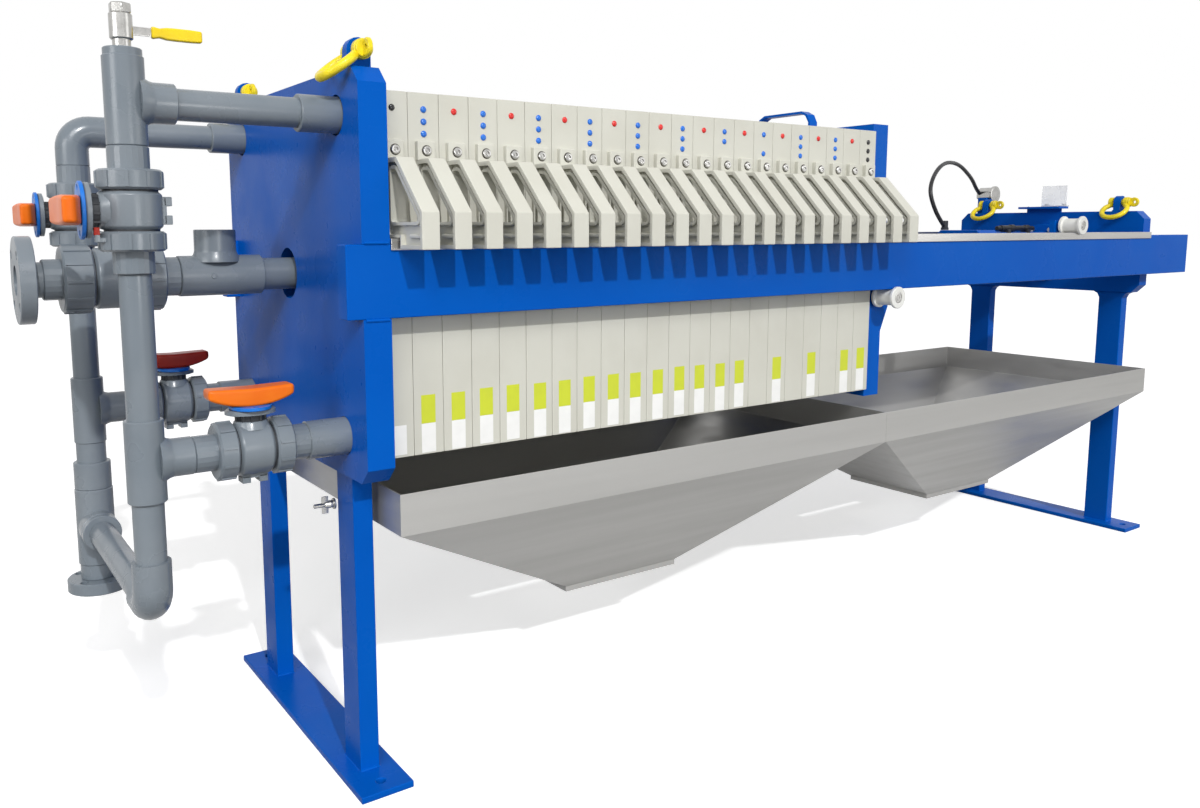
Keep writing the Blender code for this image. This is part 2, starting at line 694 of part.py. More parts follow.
def filter_plate_mesh():
    """One plate at the start of the stack, with a grip on each side."""
    start = HEAD_FACE_X + GAP / 2
    end = HEAD_FACE_X + PLATE_PITCH - GAP / 2
    work = bmesh.new()
    rings = []
    levels = ((start, PLATE_EDGE), (start + PLATE_EDGE, 0), (end - PLATE_EDGE, 0), (end, PLATE_EDGE))
    for x, inset in levels:
        size = PLATE_HALF - inset
        rings.append([work.verts.new((x, a, AXIS_Z + b)) for a, b in rectangle(-size, size, -size, size)])
    work.faces.new(rings[0])
    work.faces.new(rings[-1])
    for low, high in zip(rings, rings[1:]):
        for index in range(4):
            after = (index + 1) % 4
            work.faces.new((low[index], low[after], high[after], high[index]))
    body = mesh_from(work, "plate_body")
    middle = (start + end) / 2
    near, far = middle - HANDLE_WIDTH / 2, middle + HANDLE_WIDTH / 2
    handles = [prism(handle_outline(side), "X", near, far) for side in (-1, 1)]
    windows = [prism(handle_window(side), "X", near - CUT_OVERRUN, far + CUT_OVERRUN) for side in (-1, 1)]
    tabs = []
    for side in (-1, 1):
        y = sorted((side * (PLATE_HALF - PLATE_EDGE), side * (PLATE_HALF + HANDLE_TAB_PROUD)))
        low = RAIL_TOP + HANDLE_RISE - HANDLE_TAB_PROUD / 2
        tabs.append(box((middle - HANDLE_TAB_WIDTH / 2, middle + HANDLE_TAB_WIDTH / 2), y,
                        (low, low + HANDLE_TAB_HEIGHT)))
    return as_mesh(combine("work_plate", body, POLYPROPYLENE, handles + tabs, windows))


def filter_plates():
    mesh = filter_plate_mesh()
    for index in range(PLATE_COUNT):
        plate = new_object(f"filter_plate_{index + 1:02d}", mesh.copy(), POLYPROPYLENE)
        plate.location.x = index * PLATE_PITCH


def drip_tray(name, start, end):
    """A rim and an inverted pyramid down to an open outlet, in sheet of one thickness."""
    centre = (start + end) / 2
    half = (end - start) / 2
    levels = [
        (TRAY_TOP, half, TRAY_HALF_WIDTH), (TRAY_TOP - TRAY_RIM, half, TRAY_HALF_WIDTH),
        (OUTLET_Z + OUTLET_COLLAR, OUTLET_LENGTH / 2, OUTLET_WIDTH / 2),
        (OUTLET_Z, OUTLET_LENGTH / 2, OUTLET_WIDTH / 2),
    ]
    inside = [(z, a - TRAY_WALL, b - TRAY_WALL) for z, a, b in reversed(levels)]
    work = bmesh.new()
    rings = []
    for z, a, b in levels + inside:
        rings.append([work.verts.new((centre + p, q, z)) for p, q in rectangle(-a, a, -b, b)])
    for index, low in enumerate(rings):
        high = rings[(index + 1) % len(rings)]
        for corner in range(4):
            after = (corner + 1) % 4
            work.faces.new((low[corner], low[after], high[after], high[corner]))
    return combine(name, mesh_from(work, name), STAINLESS)


def roller(name, x, side, z):
    """A nylon spool that straddles the beam, on a journal that turns in the follower's boss."""
    inner = BEAM_INNER_Y - ROLLER_PLAY
    outer = RAIL_OUTER_Y + ROLLER_PLAY
    width = ROLLER_FLANGE_WIDTH
    rows = (
        (ROLLER_JOURNAL_LENGTH, ROLLER_JOURNAL), (width, ROLLER_FLANGE), (outer - inner, ROLLER_CORE),
        (width, ROLLER_FLANGE),
    )
    start = side * (inner - width - ROLLER_JOURNAL_LENGTH)
    made = combine(name, stacked("Y", start, rows, (0, 0, 0), 22, side), WHITE_NYLON)
    made.location = (x, 0, z)
    return made


def follower():
    """The moving plate, with gussets and side arms that carry the bored bosses for its rollers."""
    face, back = FOLLOWER_FACE_X, FOLLOWER_BACK_X
    half = FOLLOWER_HALF_WIDTH
    body = box((face, back), (-half, half), (FOLLOWER_LOW, FOLLOWER_HIGH))
    parts = [lifting_hoop()]
    bores = []
    boss_end = BEAM_INNER_Y - ROLLER_PLAY - ROLLER_FLANGE_WIDTH - GAP
    root = back - CUT_OVERRUN
    low, high = ARM_Z - ARM_HEIGHT / 2, ARM_Z + ARM_HEIGHT / 2
    tip = REAR_ROLLER_X + ARM_HEIGHT / 2
    top = ROLLER_HIGH_Z + ROLLER_BOSS / 2
    for side in (-1, 1):
        y = sorted((side * half, side * (half - ARM_THICK)))
        gusset = [
            (root, ROLLER_LOW_Z - GUSSET_DROP), (back + GUSSET_REACH, ROLLER_LOW_Z - GUSSET_DROP + GUSSET_SLOPE),
            (back + GUSSET_REACH, ARM_Z), (root, ARM_Z),
        ]
        parts.append(prism(gusset, "Y", *y))
        arm = [
            (root, low), (tip, low), (tip, top), (tip - ARM_HEIGHT, top), (tip - ARM_HEIGHT, high), (root, high),
        ]
        parts.append(prism(arm, "Y", *y))
        for x, z in ((FRONT_ROLLER_X, ROLLER_LOW_Z), (REAR_ROLLER_X, ROLLER_HIGH_Z)):
            parts.append(rod("Y", side * (half - ARM_THICK / 2), side * boss_end, ROLLER_BOSS, (x, 0, z), 18))
            deep = boss_end - ROLLER_JOURNAL_LENGTH - GAP
            bores.append(rod("Y", side * deep, side * (boss_end + CUT_OVERRUN), ROLLER_JOURNAL + 2 * GAP,
                             (x, 0, z), 18))
    return combine("follower", body, BLUE_PAINT, parts, bores)


def lifting_hoop():
    """A flat bar bent over the follower's top edge as a lifting handle."""
    base = FOLLOWER_HIGH - HOOP_THICK
    top = FOLLOWER_HIGH + HOOP_RISE
    half, cut, thick = HOOP_WIDTH / 2, HOOP_CORNER, HOOP_THICK
    over = [
        (half, base), (half, top - cut), (half - cut / 3, top - cut / 3), (half - cut, top),
        (-half + cut, top), (-half + cut / 3, top - cut / 3), (-half, top - cut), (-half, base),
    ]
    inner = half - thick
    under = [
        (-inner, base), (-inner, top - cut), (-inner + cut / 3, top - cut / 3 - thick / 2), (-half + cut, top - thick),
        (half - cut, top - thick), (inner - cut / 3, top - cut / 3 - thick / 2), (inner, top - cut), (inner, base),
    ]
    middle = (FOLLOWER_FACE_X + FOLLOWER_BACK_X) / 2
    return prism(over + under, "X", middle - HOOP_DEPTH / 2, middle + HOOP_DEPTH / 2)


def piston_rod():
    start = FOLLOWER_BACK_X + GAP
    end = CYLINDER_HEAD_X + CYLINDER_HEAD_LENGTH / 2
    rows = ((ROD_FLANGE_THICK, ROD_FLANGE), (end - start - ROD_FLANGE_THICK, ROD_DIAMETER))
    return combine("piston_rod", stacked("X", start, rows, (0, 0, AXIS_Z), 24), CHROME_STEEL)


def hydraulic_cylinder():
    """A square front block on a round barrel, bolted to the tail plate by a flange."""
    start, end = CYLINDER_HEAD_X, TAIL_X - GAP
    head_end = start + CYLINDER_HEAD_LENGTH
    barrel_start = head_end - CYLINDER_HEAD_CUT
    rows = ((end - CYLINDER_FLANGE_THICK - barrel_start, CYLINDER_DIAMETER),
            (CYLINDER_FLANGE_THICK, CYLINDER_FLANGE))
    barrel = stacked("X", barrel_start, rows, (0, 0, AXIS_Z), 26)
    size, cut = CYLINDER_HEAD_SIZE / 2, CYLINDER_HEAD_CUT
    head = prism(chamfered(size, AXIS_Z - size, AXIS_Z + size, cut, cut), "X", start, head_end)
    bore = rod("X", start - CUT_OVERRUN, end - CYLINDER_FLANGE_THICK, CYLINDER_BORE, (0, 0, AXIS_Z), 24)
    return combine("hydraulic_cylinder", barrel, BLUE_PAINT, [head], [bore])


def quarter_turn(corner, arriving, leaving, radius, count=6):
    """Points on a rounded corner between two square directions."""
    into, out = Vector(arriving), Vector(leaving)
    centre = Vector(corner) + (out - into) * radius
    spots = []
    for step in range(count + 1):
        angle = math.pi / 2 * step / count
        spots.append(centre + (into * math.sin(angle) - out * math.cos(angle)) * radius)
    return spots


def hex_bar(axis, start, end, across, centre):
    """A hexagon bar; across is over its flats."""
    return moved(prism(circle(across / math.sqrt(3), 6), axis, start, end), centre)


def ball_valve_mesh():
    """A union ball valve, its pipe along Z and its stem towards -X, with mounting pads behind."""
    body = stacked("Z", -VALVE_HALF, VALVE_ROWS, (0, 0, 0), 24)
    neck = rod("X", -STEM_RISE + STEM_FLANGE / 2, 0, STEM_NECK_OD, (0, 0, 0), 18)
    flange = rod("X", -STEM_RISE, -STEM_RISE + STEM_FLANGE, STEM_FLANGE_OD, (0, 0, 0), 20)
    wide = PAD_WIDTH / 2
    back = VALVE_BODY_OD / 2
    pads = []
    for side in (-1, 1):
        z = side * PAD_SPACING / 2
        pads.append(box((back - PAD_PROUD, back + PAD_PROUD), (-wide, wide), (z - PAD_LENGTH / 2, z + PAD_LENGTH / 2)))
    socket = rod("X", -STEM_RISE - CUT_OVERRUN, -STEM_RISE + SPIGOT_DEPTH, SPIGOT_OD + 2 * SPIGOT_PLAY, (0, 0, 0), 14)
    return as_mesh(combine("work_valve", body, GREY_PVC, [neck, flange] + pads, [socket]))


def turning_handle_mesh(along_pipe):
    """A disc with a winged grip bar and a spigot, pivoting at the origin and facing -X."""
    disc = rod("X", 0, -DISC_THICK, DISC_OD, (0, 0, 0), 22)
    spigot = rod("X", -DISC_THICK / 2, SPIGOT_DEPTH - SPIGOT_PLAY, SPIGOT_OD, (0, 0, 0), 14)
    top = DISC_THICK + BAR_HEIGHT
    half = BAR_LENGTH / 2
    side = [
        (half - BAR_TIP, top), (half, top - BAR_TIP), (half - BAR_TIP, top - BAR_END),
        (BAR_ROOT / 2, DISC_THICK / 2), (-BAR_ROOT / 2, DISC_THICK / 2),
        (-half + BAR_TIP, top - BAR_END), (-half, top - BAR_TIP), (-half + BAR_TIP, top),
    ]
    if along_pipe:
        bar = prism([(-b, a) for a, b in side], "Y", -BAR_THICK / 2, BAR_THICK / 2)
    else:
        bar = prism([(-b, a) for a, b in side], "Z", -BAR_THICK / 2, BAR_THICK / 2)
    return as_mesh(combine("work_handle", disc, GREY_PVC, [spigot, bar]))


def placed(name, mesh, material, place, upright):
    """Puts a valve or a handle in its pipe; upright turns it from a riser to a level branch."""
    if upright:
        mesh.transform(Matrix.Rotation(math.pi / 2, 4, "Y"))
    made = new_object(name, mesh, material)
    made.location = place
    return made


def upper_run(name, side):
    """From the riser valve up to a branch and across to the upper port of the first plate."""
    y = side * RISER_Y
    start = RISER_VALVE_Z + VALVE_HALF + GAP
    coupling_x = HEAD_BACK_X - COUPLING_OUT
    across_rows = (
        (coupling_x - RISER_X - TEE_BRANCH, PIPE_OD), (SEAT_X - coupling_x, HUB_OD),
    )
    if side < 0:
        rows = ((TEE_LENGTH, TEE_OD), (COLLAR_LENGTH, COLLAR_OD))
        branch = stacked("X", RISER_X, ((TEE_BRANCH, HUB_OD),) + across_rows, (0, y, PORT_HIGH), 18)
        return combine(name, stacked("Z", start, rows, (RISER_X, y, 0), 18), GREY_PVC, [branch])
    points = [(RISER_X, y, start)] + quarter_turn((RISER_X, y, PORT_HIGH), (0, 0, 1), (1, 0, 0), ELBOW_BEND)
    points.append((RISER_X + TEE_BRANCH + GAP, y, PORT_HIGH))
    rest = stacked("X", RISER_X + TEE_BRANCH, across_rows, (0, y, PORT_HIGH), 18)
    return combine(name, tube_along(points, ELBOW_OD / 2, 18), GREY_PVC, [rest])


def near_lower_run():
    """Down from the near riser valve past the drain branch, round an elbow and across."""
    y = -RISER_Y
    top = RISER_VALVE_Z - VALVE_HALF - GAP
    tee_top = PORT_LOW + TEE_LENGTH / 2
    elbow_top = CROSS_Z + ELBOW_LEG
    rows = (
        (top - tee_top, PIPE_OD), (TEE_LENGTH, TEE_OD), (tee_top - TEE_LENGTH - elbow_top + CUT_OVERRUN, PIPE_OD),
    )
    body = stacked("Z", top, rows, (RISER_X, y, 0), 18, -1)
    branch = rod("X", RISER_X, RISER_X + TEE_BRANCH, HUB_OD, (0, y, PORT_LOW), 18)
    points = [(RISER_X, y, elbow_top)]
    points += quarter_turn((RISER_X, y, CROSS_Z), (0, 0, -1), (0, 1, 0), ELBOW_BEND)
    points.append((RISER_X, y + ELBOW_REACH, CROSS_Z))
    bend = tube_along(points, ELBOW_OD / 2, 18)
    start = y + ELBOW_REACH - CUT_OVERRUN
    end = RISER_Y - LOW_TEE_LENGTH / 2 - GAP
    cross = rod("Y", start, end, PIPE_OD, (RISER_X, 0, CROSS_Z), 18)
    return combine("near_lower_run", body, GREY_PVC, [branch, bend, cross])


def far_lower_run():
    """Down from the far riser valve past its branch to the low tee and the outlet flange."""
    y = RISER_Y
    top = RISER_VALVE_Z - VALVE_HALF - GAP
    rows = (
        (top - PORT_LOW - TEE_LENGTH / 2, PIPE_OD), (TEE_LENGTH, TEE_OD), (REDUCER_LENGTH, REDUCER_OD),
        (SLEEVE_LENGTH, SLEEVE_OD), (LOW_TEE_LENGTH, LOW_TEE_OD), (FLANGE_HUB_LENGTH, FLANGE_HUB_OD),
        (FLANGE_THICK, FLANGE_OD),
    )
    body = stacked("Z", top, rows, (RISER_X, y, 0), 20, -1)
    bottom = top - run_length(rows)
    branch = rod("X", RISER_X, RISER_X + TEE_BRANCH, HUB_OD, (0, y, PORT_LOW), 18)
    hub = rod("Y", y, y - LOW_TEE_LENGTH / 2, LOW_TEE_OD, (RISER_X, 0, CROSS_Z), 18)
    holes = [
        rod("Z", bottom - CUT_OVERRUN, bottom + FLANGE_THICK + CUT_OVERRUN, FLANGE_HOLE, (RISER_X + a, y + b, 0), 8)
        for a, b in circle(FLANGE_CIRCLE / 2, FLANGE_HOLES, (0, 0), math.pi / FLANGE_HOLES)
    ]
    holes.append(rod("Z", bottom - CUT_OVERRUN, bottom + DRAIN_BORE_DEPTH, DRAIN_BORE, (RISER_X, y, 0), 16))
    return combine("far_lower_run", body, GREY_PVC, [branch, hub], holes)


def drain_bushing_mesh(y):
    """The bushing that takes a drain valve into the head's lower port."""
    return rod("X", DRAIN_VALVE_X + VALVE_HALF - GAP, SEAT_X, BUSHING_OD, (0, y, PORT_LOW), 18)


def drain_valve(name, side):
    """The valve in a low branch, with its bushing to the lower port."""
    y = side * RISER_Y
    mesh = ball_valve_mesh()
    mesh.transform(Matrix.Rotation(math.pi / 2, 4, "Y"))
    moved(mesh, (DRAIN_VALVE_X, y, PORT_LOW))
    return combine(name, mesh, GREY_PVC, [drain_bushing_mesh(y)])


def feed_valve():
    """The larger valve in the feed, with the flange that takes the incoming line."""
    centre = (0, 0, AXIS_Z)
    rows = (
        (FEED_SOCKET, FEED_SOCKET_OD), (FEED_NUT, FEED_NUT_OD), (FEED_BODY, FEED_BODY_OD),
        (FEED_NUT, FEED_NUT_OD), (FEED_SOCKET, FEED_SOCKET_OD), (FEED_NECK, FEED_PIPE_OD),
        (FEED_FLANGE, FEED_FLANGE_OD),
    )
    body = stacked("X", FEED_VALVE_START_X, rows, centre, 26, -1)
    end = FEED_VALVE_START_X - run_length(rows)
    holes = [
        rod("X", end - CUT_OVERRUN, end + FEED_FLANGE + CUT_OVERRUN, FLANGE_HOLE, (0, a, AXIS_Z + b), 8)
        for a, b in circle(FEED_FLANGE_CIRCLE / 2, FLANGE_HOLES, (0, 0), math.pi / FLANGE_HOLES)
    ]
    holes.append(rod("X", end - CUT_OVERRUN, end + FEED_BORE_DEPTH, FEED_BORE, centre, 18))
    return combine("feed_valve", body, GREY_PVC, [], holes)


def feed_run():
    """A plugged tee and the pipe that passes through the head to the first plate."""
    rows = ((FEED_TEE_LENGTH, FEED_TEE_OD), (SEAT_X - FEED_TEE_END_X, FEED_PIPE_OD))
    body = stacked("X", FEED_TEE_END_X - FEED_TEE_LENGTH, rows, (0, 0, AXIS_Z), 22)
    x = FEED_TEE_END_X - FEED_TEE_LENGTH / 2 - FEED_TEE_OFFSET
    top = rod("Z", AXIS_Z, AXIS_Z + FEED_TEE_RISE, FEED_TEE_OD, (x, 0, 0), 22)
    return combine("feed_run", body, GREY_PVC, [top])


def air_valve():
    """A small steel valve on top of the near riser; its stem and lever are on the inner side."""
    y = -RISER_Y
    base = PORT_HIGH + TEE_LENGTH / 2 + COLLAR_LENGTH + GAP
    body_top = base + AIR_NECK + AIR_BODY
    lever_z = base + AIR_NECK + AIR_BODY / 2
    lever_y = y + AIR_BODY_OD / 2 + AIR_STEM_OUT
    rows = ((AIR_NECK, AIR_NECK_OD), (AIR_BODY, AIR_BODY_OD))
    top = hex_bar("Z", body_top - AIR_HEX_HEIGHT / 2, body_top + AIR_HEX_HEIGHT, AIR_HEX, (RISER_X, y, 0))
    stem = rod("Y", y, lever_y, AIR_STEM_OD, (RISER_X, 0, lever_z), 14)
    combine("air_valve", stacked("Z", base, rows, (RISER_X, y, 0), 18), STAINLESS, [top, stem])
    start = lever_y + GAP
    hub = rod("Y", start, start + LEVER_HUB, LEVER_WIDTH, (RISER_X, 0, lever_z), 14)
    end = RISER_X + LEVER_LENGTH
    half = LEVER_WIDTH / 2
    strip = box((RISER_X, end - LEVER_THICK), (start, start + LEVER_THICK), (lever_z - half, lever_z + half))
    wide = GRIP_WIDTH / 2
    grip = prism(chamfered(GRIP_THICK / 2, lever_z - wide, lever_z + wide, GRIP_THICK / 4, GRIP_THICK / 4),
                 "X", end - SLEEVED_LENGTH, end)
    lever = combine("air_lever", strip, YELLOW_SLEEVE, [hub, moved(grip, (0, start + LEVER_THICK / 2, 0))])
    return hinge_parent(lever, (RISER_X, lever_y, lever_z))


def hydraulic_hose():
    """The hose from the cylinder's front block over to the fitting behind the tail plate."""
    points = [Vector(spot) for spot in HOSE_SPOTS]
    smooth = []
    for index in range(len(points) - 1):
        before = points[max(index - 1, 0)]
        first, second = points[index], points[index + 1]
        after = points[min(index + 2, len(points) - 1)]
        for step in range(4):
            t = step / 4
            smooth.append(0.5 * (2 * first + (second - before) * t
                                 + (2 * before - 5 * first + 4 * second - after) * t * t
                                 + (3 * first - before - 3 * second + after) * t * t * t))
    smooth.append(points[-1])
    hose = tube_along(smooth, HOSE_DIAMETER / 2, 10)
    first = points[0]
    head_top = AXIS_Z + CYLINDER_HEAD_SIZE / 2
    collar = rod("Z", head_top + GAP, first.z + HOSE_COLLAR, HOSE_COLLAR_OD, (first.x, first.y, 0), 14)
    x = TAIL_BACK_X + HOSE_FITTING_BACK
    z = TAIL_TOP + HOSE_FITTING_RISE
    far_y = BEAM_INNER_Y - HOSE_FITTING_INSET
    near_y = far_y - HOSE_FITTING_LENGTH
    nut = hex_bar("Y", near_y + FITTING_CAP / 2, far_y, FITTING_HEX, (x, 0, z))
    cap = rod("Y", near_y, near_y + FITTING_CAP, FITTING_CAP_OD, (x, 0, z), 18)
    middle = (near_y + far_y) / 2
    post = box((TAIL_BACK_X + GAP, x), (middle - FITTING_POST / 2, middle + FITTING_POST / 2),
               (TAIL_TOP - FITTING_POST_DROP, z))
    return combine("hydraulic_hose", hose, BLACK_RUBBER, [collar, nut, cap, post])


def make_frame():
    head_plate()
    tail_plate()
    for side, word in ((-1, "near"), (1, "far")):
        side_beam(f"{word}_side_beam", side)
        rail(f"{word}_rail", side)
    stand("head_stand", 0.0, HEAD_LOW, 0.0)
    stand("tail_stand", TAIL_LEG_X, TAIL_BOTTOM, LEG_FLARE)
    end = TAIL_LEG_X - LEG_THICK / 2 - GAP
    middle = (TRAY_START_X + end) / 2
    drip_tray("head_drip_tray", TRAY_START_X, middle - GAP / 2)
    drip_tray("tail_drip_tray", middle + GAP / 2, end)
    head_mid = (HEAD_FACE_X + HEAD_BACK_X) / 2
    for side, word in ((-1, "near"), (1, "far")):
        bow_shackle(f"{word}_head_shackle", head_mid, side * HEAD_LUG_Y, HEAD_HIGH + LUG_PIN_RISE,
                    bow_lean(HEAD_THICK / 2))
        bow_shackle(f"{word}_tail_shackle", TAIL_LEG_X, side * TAIL_LUG_Y, TAIL_TOP + LUG_PIN_RISE,
                    bow_lean(TAIL_THICK / 2))


def make_moving_end():
    follower()
    piston_rod()
    hydraulic_cylinder()
    hydraulic_hose()
    for side, word in ((-1, "near"), (1, "far")):
        roller(f"{word}_front_roller", FRONT_ROLLER_X, side, ROLLER_LOW_Z)
        roller(f"{word}_rear_roller", REAR_ROLLER_X, side, ROLLER_HIGH_Z)


def make_pipework():
    for side, word in ((-1, "near"), (1, "far")):
        y = side * RISER_Y
        placed(f"{word}_riser_valve", ball_valve_mesh(), GREY_PVC, (RISER_X, y, RISER_VALVE_Z), False)
        drain_valve(f"{word}_drain_valve", side)
        upper_run(f"{word}_upper_run", side)
        pivot = (RISER_X - STEM_RISE - GAP, y, RISER_VALVE_Z)
        placed(f"{word}_riser_handle", turning_handle_mesh(False), ORANGE_PLASTIC, pivot, False)
        pivot = (DRAIN_VALVE_X, y, PORT_LOW + STEM_RISE + GAP)
        colour = ORANGE_PLASTIC if side < 0 else RED_PLASTIC
        placed(f"{word}_drain_handle", turning_handle_mesh(True), colour, pivot, True)
    near_lower_run()
    far_lower_run()
    feed_valve()
    feed_run()
    air_valve()


make_frame()
filter_plates()
make_moving_end()
make_pipework()
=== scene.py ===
# %% [markdown]
# # Dressing a plate filter press
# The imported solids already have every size, joint and place. This lesson gives them the look of
# the real machine: blue enamel on thick plate, off-white moulded filter plates, grey glued
# pipework with union valves, and two folded stainless trays. Each step makes one kind of piece
# with the modelling operators that a person would use by hand, then lets it ride on its body.

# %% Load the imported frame
import json
import math

import bpy
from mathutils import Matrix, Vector

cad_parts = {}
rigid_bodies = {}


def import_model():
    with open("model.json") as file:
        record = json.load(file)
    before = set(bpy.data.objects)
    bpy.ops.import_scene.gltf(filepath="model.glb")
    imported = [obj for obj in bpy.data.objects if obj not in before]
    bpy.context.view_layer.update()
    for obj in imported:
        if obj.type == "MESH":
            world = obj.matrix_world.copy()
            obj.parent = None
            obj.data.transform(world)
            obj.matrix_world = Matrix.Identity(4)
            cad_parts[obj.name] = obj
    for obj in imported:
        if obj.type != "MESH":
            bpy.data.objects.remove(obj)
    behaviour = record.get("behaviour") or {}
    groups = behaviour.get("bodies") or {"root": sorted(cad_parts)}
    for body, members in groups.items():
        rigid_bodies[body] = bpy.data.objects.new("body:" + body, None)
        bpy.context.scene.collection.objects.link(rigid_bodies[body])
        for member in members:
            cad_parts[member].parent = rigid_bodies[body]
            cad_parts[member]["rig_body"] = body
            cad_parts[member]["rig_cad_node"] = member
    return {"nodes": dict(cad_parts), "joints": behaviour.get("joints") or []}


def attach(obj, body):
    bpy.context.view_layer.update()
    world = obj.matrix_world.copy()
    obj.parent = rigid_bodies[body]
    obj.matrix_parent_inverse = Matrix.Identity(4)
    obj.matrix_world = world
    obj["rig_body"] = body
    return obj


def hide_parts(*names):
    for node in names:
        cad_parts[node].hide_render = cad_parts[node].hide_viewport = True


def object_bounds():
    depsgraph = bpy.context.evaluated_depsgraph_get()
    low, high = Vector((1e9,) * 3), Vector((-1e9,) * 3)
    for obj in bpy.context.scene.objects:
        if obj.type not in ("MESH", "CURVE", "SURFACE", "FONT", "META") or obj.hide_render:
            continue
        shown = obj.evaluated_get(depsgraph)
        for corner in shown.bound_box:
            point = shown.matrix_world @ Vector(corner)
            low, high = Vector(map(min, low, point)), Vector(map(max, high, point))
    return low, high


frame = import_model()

cad_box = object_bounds()

# %% [markdown]
# The camera stands low and close to the pipework, so near things look much larger than far ones.
# Its place, turn and focal length were worked out from the machine's own straight edges. The
# small shift puts the picture's centre where the photograph's crop left it.

# %% Camera at the photograph's angle
IMAGE_WIDTH = 1200
SENSOR = 36.0
FOCAL_PIXELS = 967.79
CAMERA_PLACE = (-0.658, -1.8445, 1.0006)
CAMERA_TILT = math.pi / 2 - 0.1271
CAMERA_TURN = -0.5984
CAMERA_ROLL = 0.0024
PICTURE_CENTRE = (600.0, 404.0)
LENS_CENTRE = (555.74, 352.07)

camera = bpy.data.objects.new("camera", bpy.data.cameras.new("camera"))
bpy.context.scene.collection.objects.link(camera)
camera.data.sensor_width = SENSOR
camera.data.lens = FOCAL_PIXELS / IMAGE_WIDTH * SENSOR
camera.data.shift_x = (PICTURE_CENTRE[0] - LENS_CENTRE[0]) / IMAGE_WIDTH
camera.data.shift_y = -(PICTURE_CENTRE[1] - LENS_CENTRE[1]) / IMAGE_WIDTH
camera.location = CAMERA_PLACE
camera.rotation_euler = (CAMERA_TILT, CAMERA_ROLL, CAMERA_TURN)
bpy.context.scene.camera = camera
bpy.context.scene.view_settings.view_transform = "Standard"
print("lens in millimetres:", round(camera.data.lens, 2))

# %% [markdown]
# A white room suits a catalogue picture. The world is white to the eye, in mirrors and through
# clear sheet, and a calmer grey where it only lights things. The floor is pale in the same way but
# bounces little light, as a workshop's concrete does, which keeps the undersides dark. A low sun
# from the operator's side throws the grips' sharp shadows on the beam, as in the photograph, and
# four soft lamps fill in what it misses.

# %% World, lamps and floor
SKY_LIGHT = 0.36
SUN_STRENGTH = 1.75
SUN_DEGREES = 1.4
SUN_WAY = (0.017, 0.092, -0.068)
WHITE = (1, 1, 1, 1)
# Name, place, the point it looks at, size and watts.
SOFT_LAMPS = (
    ("key_lamp", (-2.3, -3.6, 4.0), (0.9, 0.0, 0.7), 1.9, 90.0),
    ("fill_lamp", (4.2, -3.6, 1.7), (1.4, 0.0, 0.7), 2.4, 28.0),
    ("head_lamp", (-3.4, -1.4, 1.9), (0.0, 0.0, 0.9), 1.6, 42.0),
    ("low_lamp", (0.2, -2.6, 1.0), (0.8, 0.0, 0.5), 0.7, 8.0),
)
FLOOR_SIZE = 90.0
FLOOR_SEEN = (0.93, 0.93, 0.93, 1)
FLOOR_BOUNCE = (0.13, 0.13, 0.13, 1)
FLOOR_GLOW = 0.42
FLOOR_ROUGHNESS = 0.9


def feed(tree, socket, value):
    """Links a value to a socket if it is a socket too, or else types it in."""
    if isinstance(value, bpy.types.NodeSocket):
        tree.links.new(value, socket)
    else:
        socket.default_value = value


def add_node(tree, kind, settings=None, **inputs):
    """Adds a node; its inputs are named with _ for a space."""
    node = tree.nodes.new("ShaderNode" + kind)
    for setting, value in (settings or {}).items():
        setattr(node, setting, value)
    for label, value in inputs.items():
        feed(tree, node.inputs[label.replace("_", " ")], value)
    return node


def calculated(tree, operation, first, second):
    node = add_node(tree, "Math", {"operation": operation})
    feed(tree, node.inputs[0], first)
    feed(tree, node.inputs[1], second)
    return node.outputs[0]


def background_rays(tree):
    """1 for the rays that show the background: straight, mirrored or through something clear."""
    rays = add_node(tree, "LightPath").outputs
    found = rays["Is Camera Ray"]
    for label in ("Is Glossy Ray", "Is Transmission Ray"):
        found = calculated(tree, "MAXIMUM", found, rays[label])
    return found


def aimed_lamp(name, kind, place, way, energy):
    lamp = bpy.data.lights.new(name, kind)
    lamp.energy = energy
    made = bpy.data.objects.new(name, lamp)
    made.location = place
    made.rotation_euler = Vector(way).to_track_quat("-Z", "Y").to_euler()
    bpy.context.scene.collection.objects.link(made)
    return lamp


world = bpy.data.worlds.new("white_room")
bpy.context.scene.world = world
world.use_nodes = True
sky = world.node_tree
sky.nodes.clear()
lighting = add_node(sky, "Background", Color=WHITE, Strength=SKY_LIGHT)
showing = add_node(sky, "Background", Color=WHITE)
choose = add_node(sky, "MixShader")
for socket, value in zip(choose.inputs, (background_rays(sky), lighting.outputs[0], showing.outputs[0])):
    feed(sky, socket, value)
add_node(sky, "OutputWorld", Surface=choose.outputs[0])

sun = aimed_lamp("sun", "SUN", (0, 0, 0), SUN_WAY, SUN_STRENGTH)
sun.angle = math.radians(SUN_DEGREES)
for name, place, target, size, watts in SOFT_LAMPS:
    aimed_lamp(name, "AREA", place, Vector(target) - Vector(place), watts).size = size

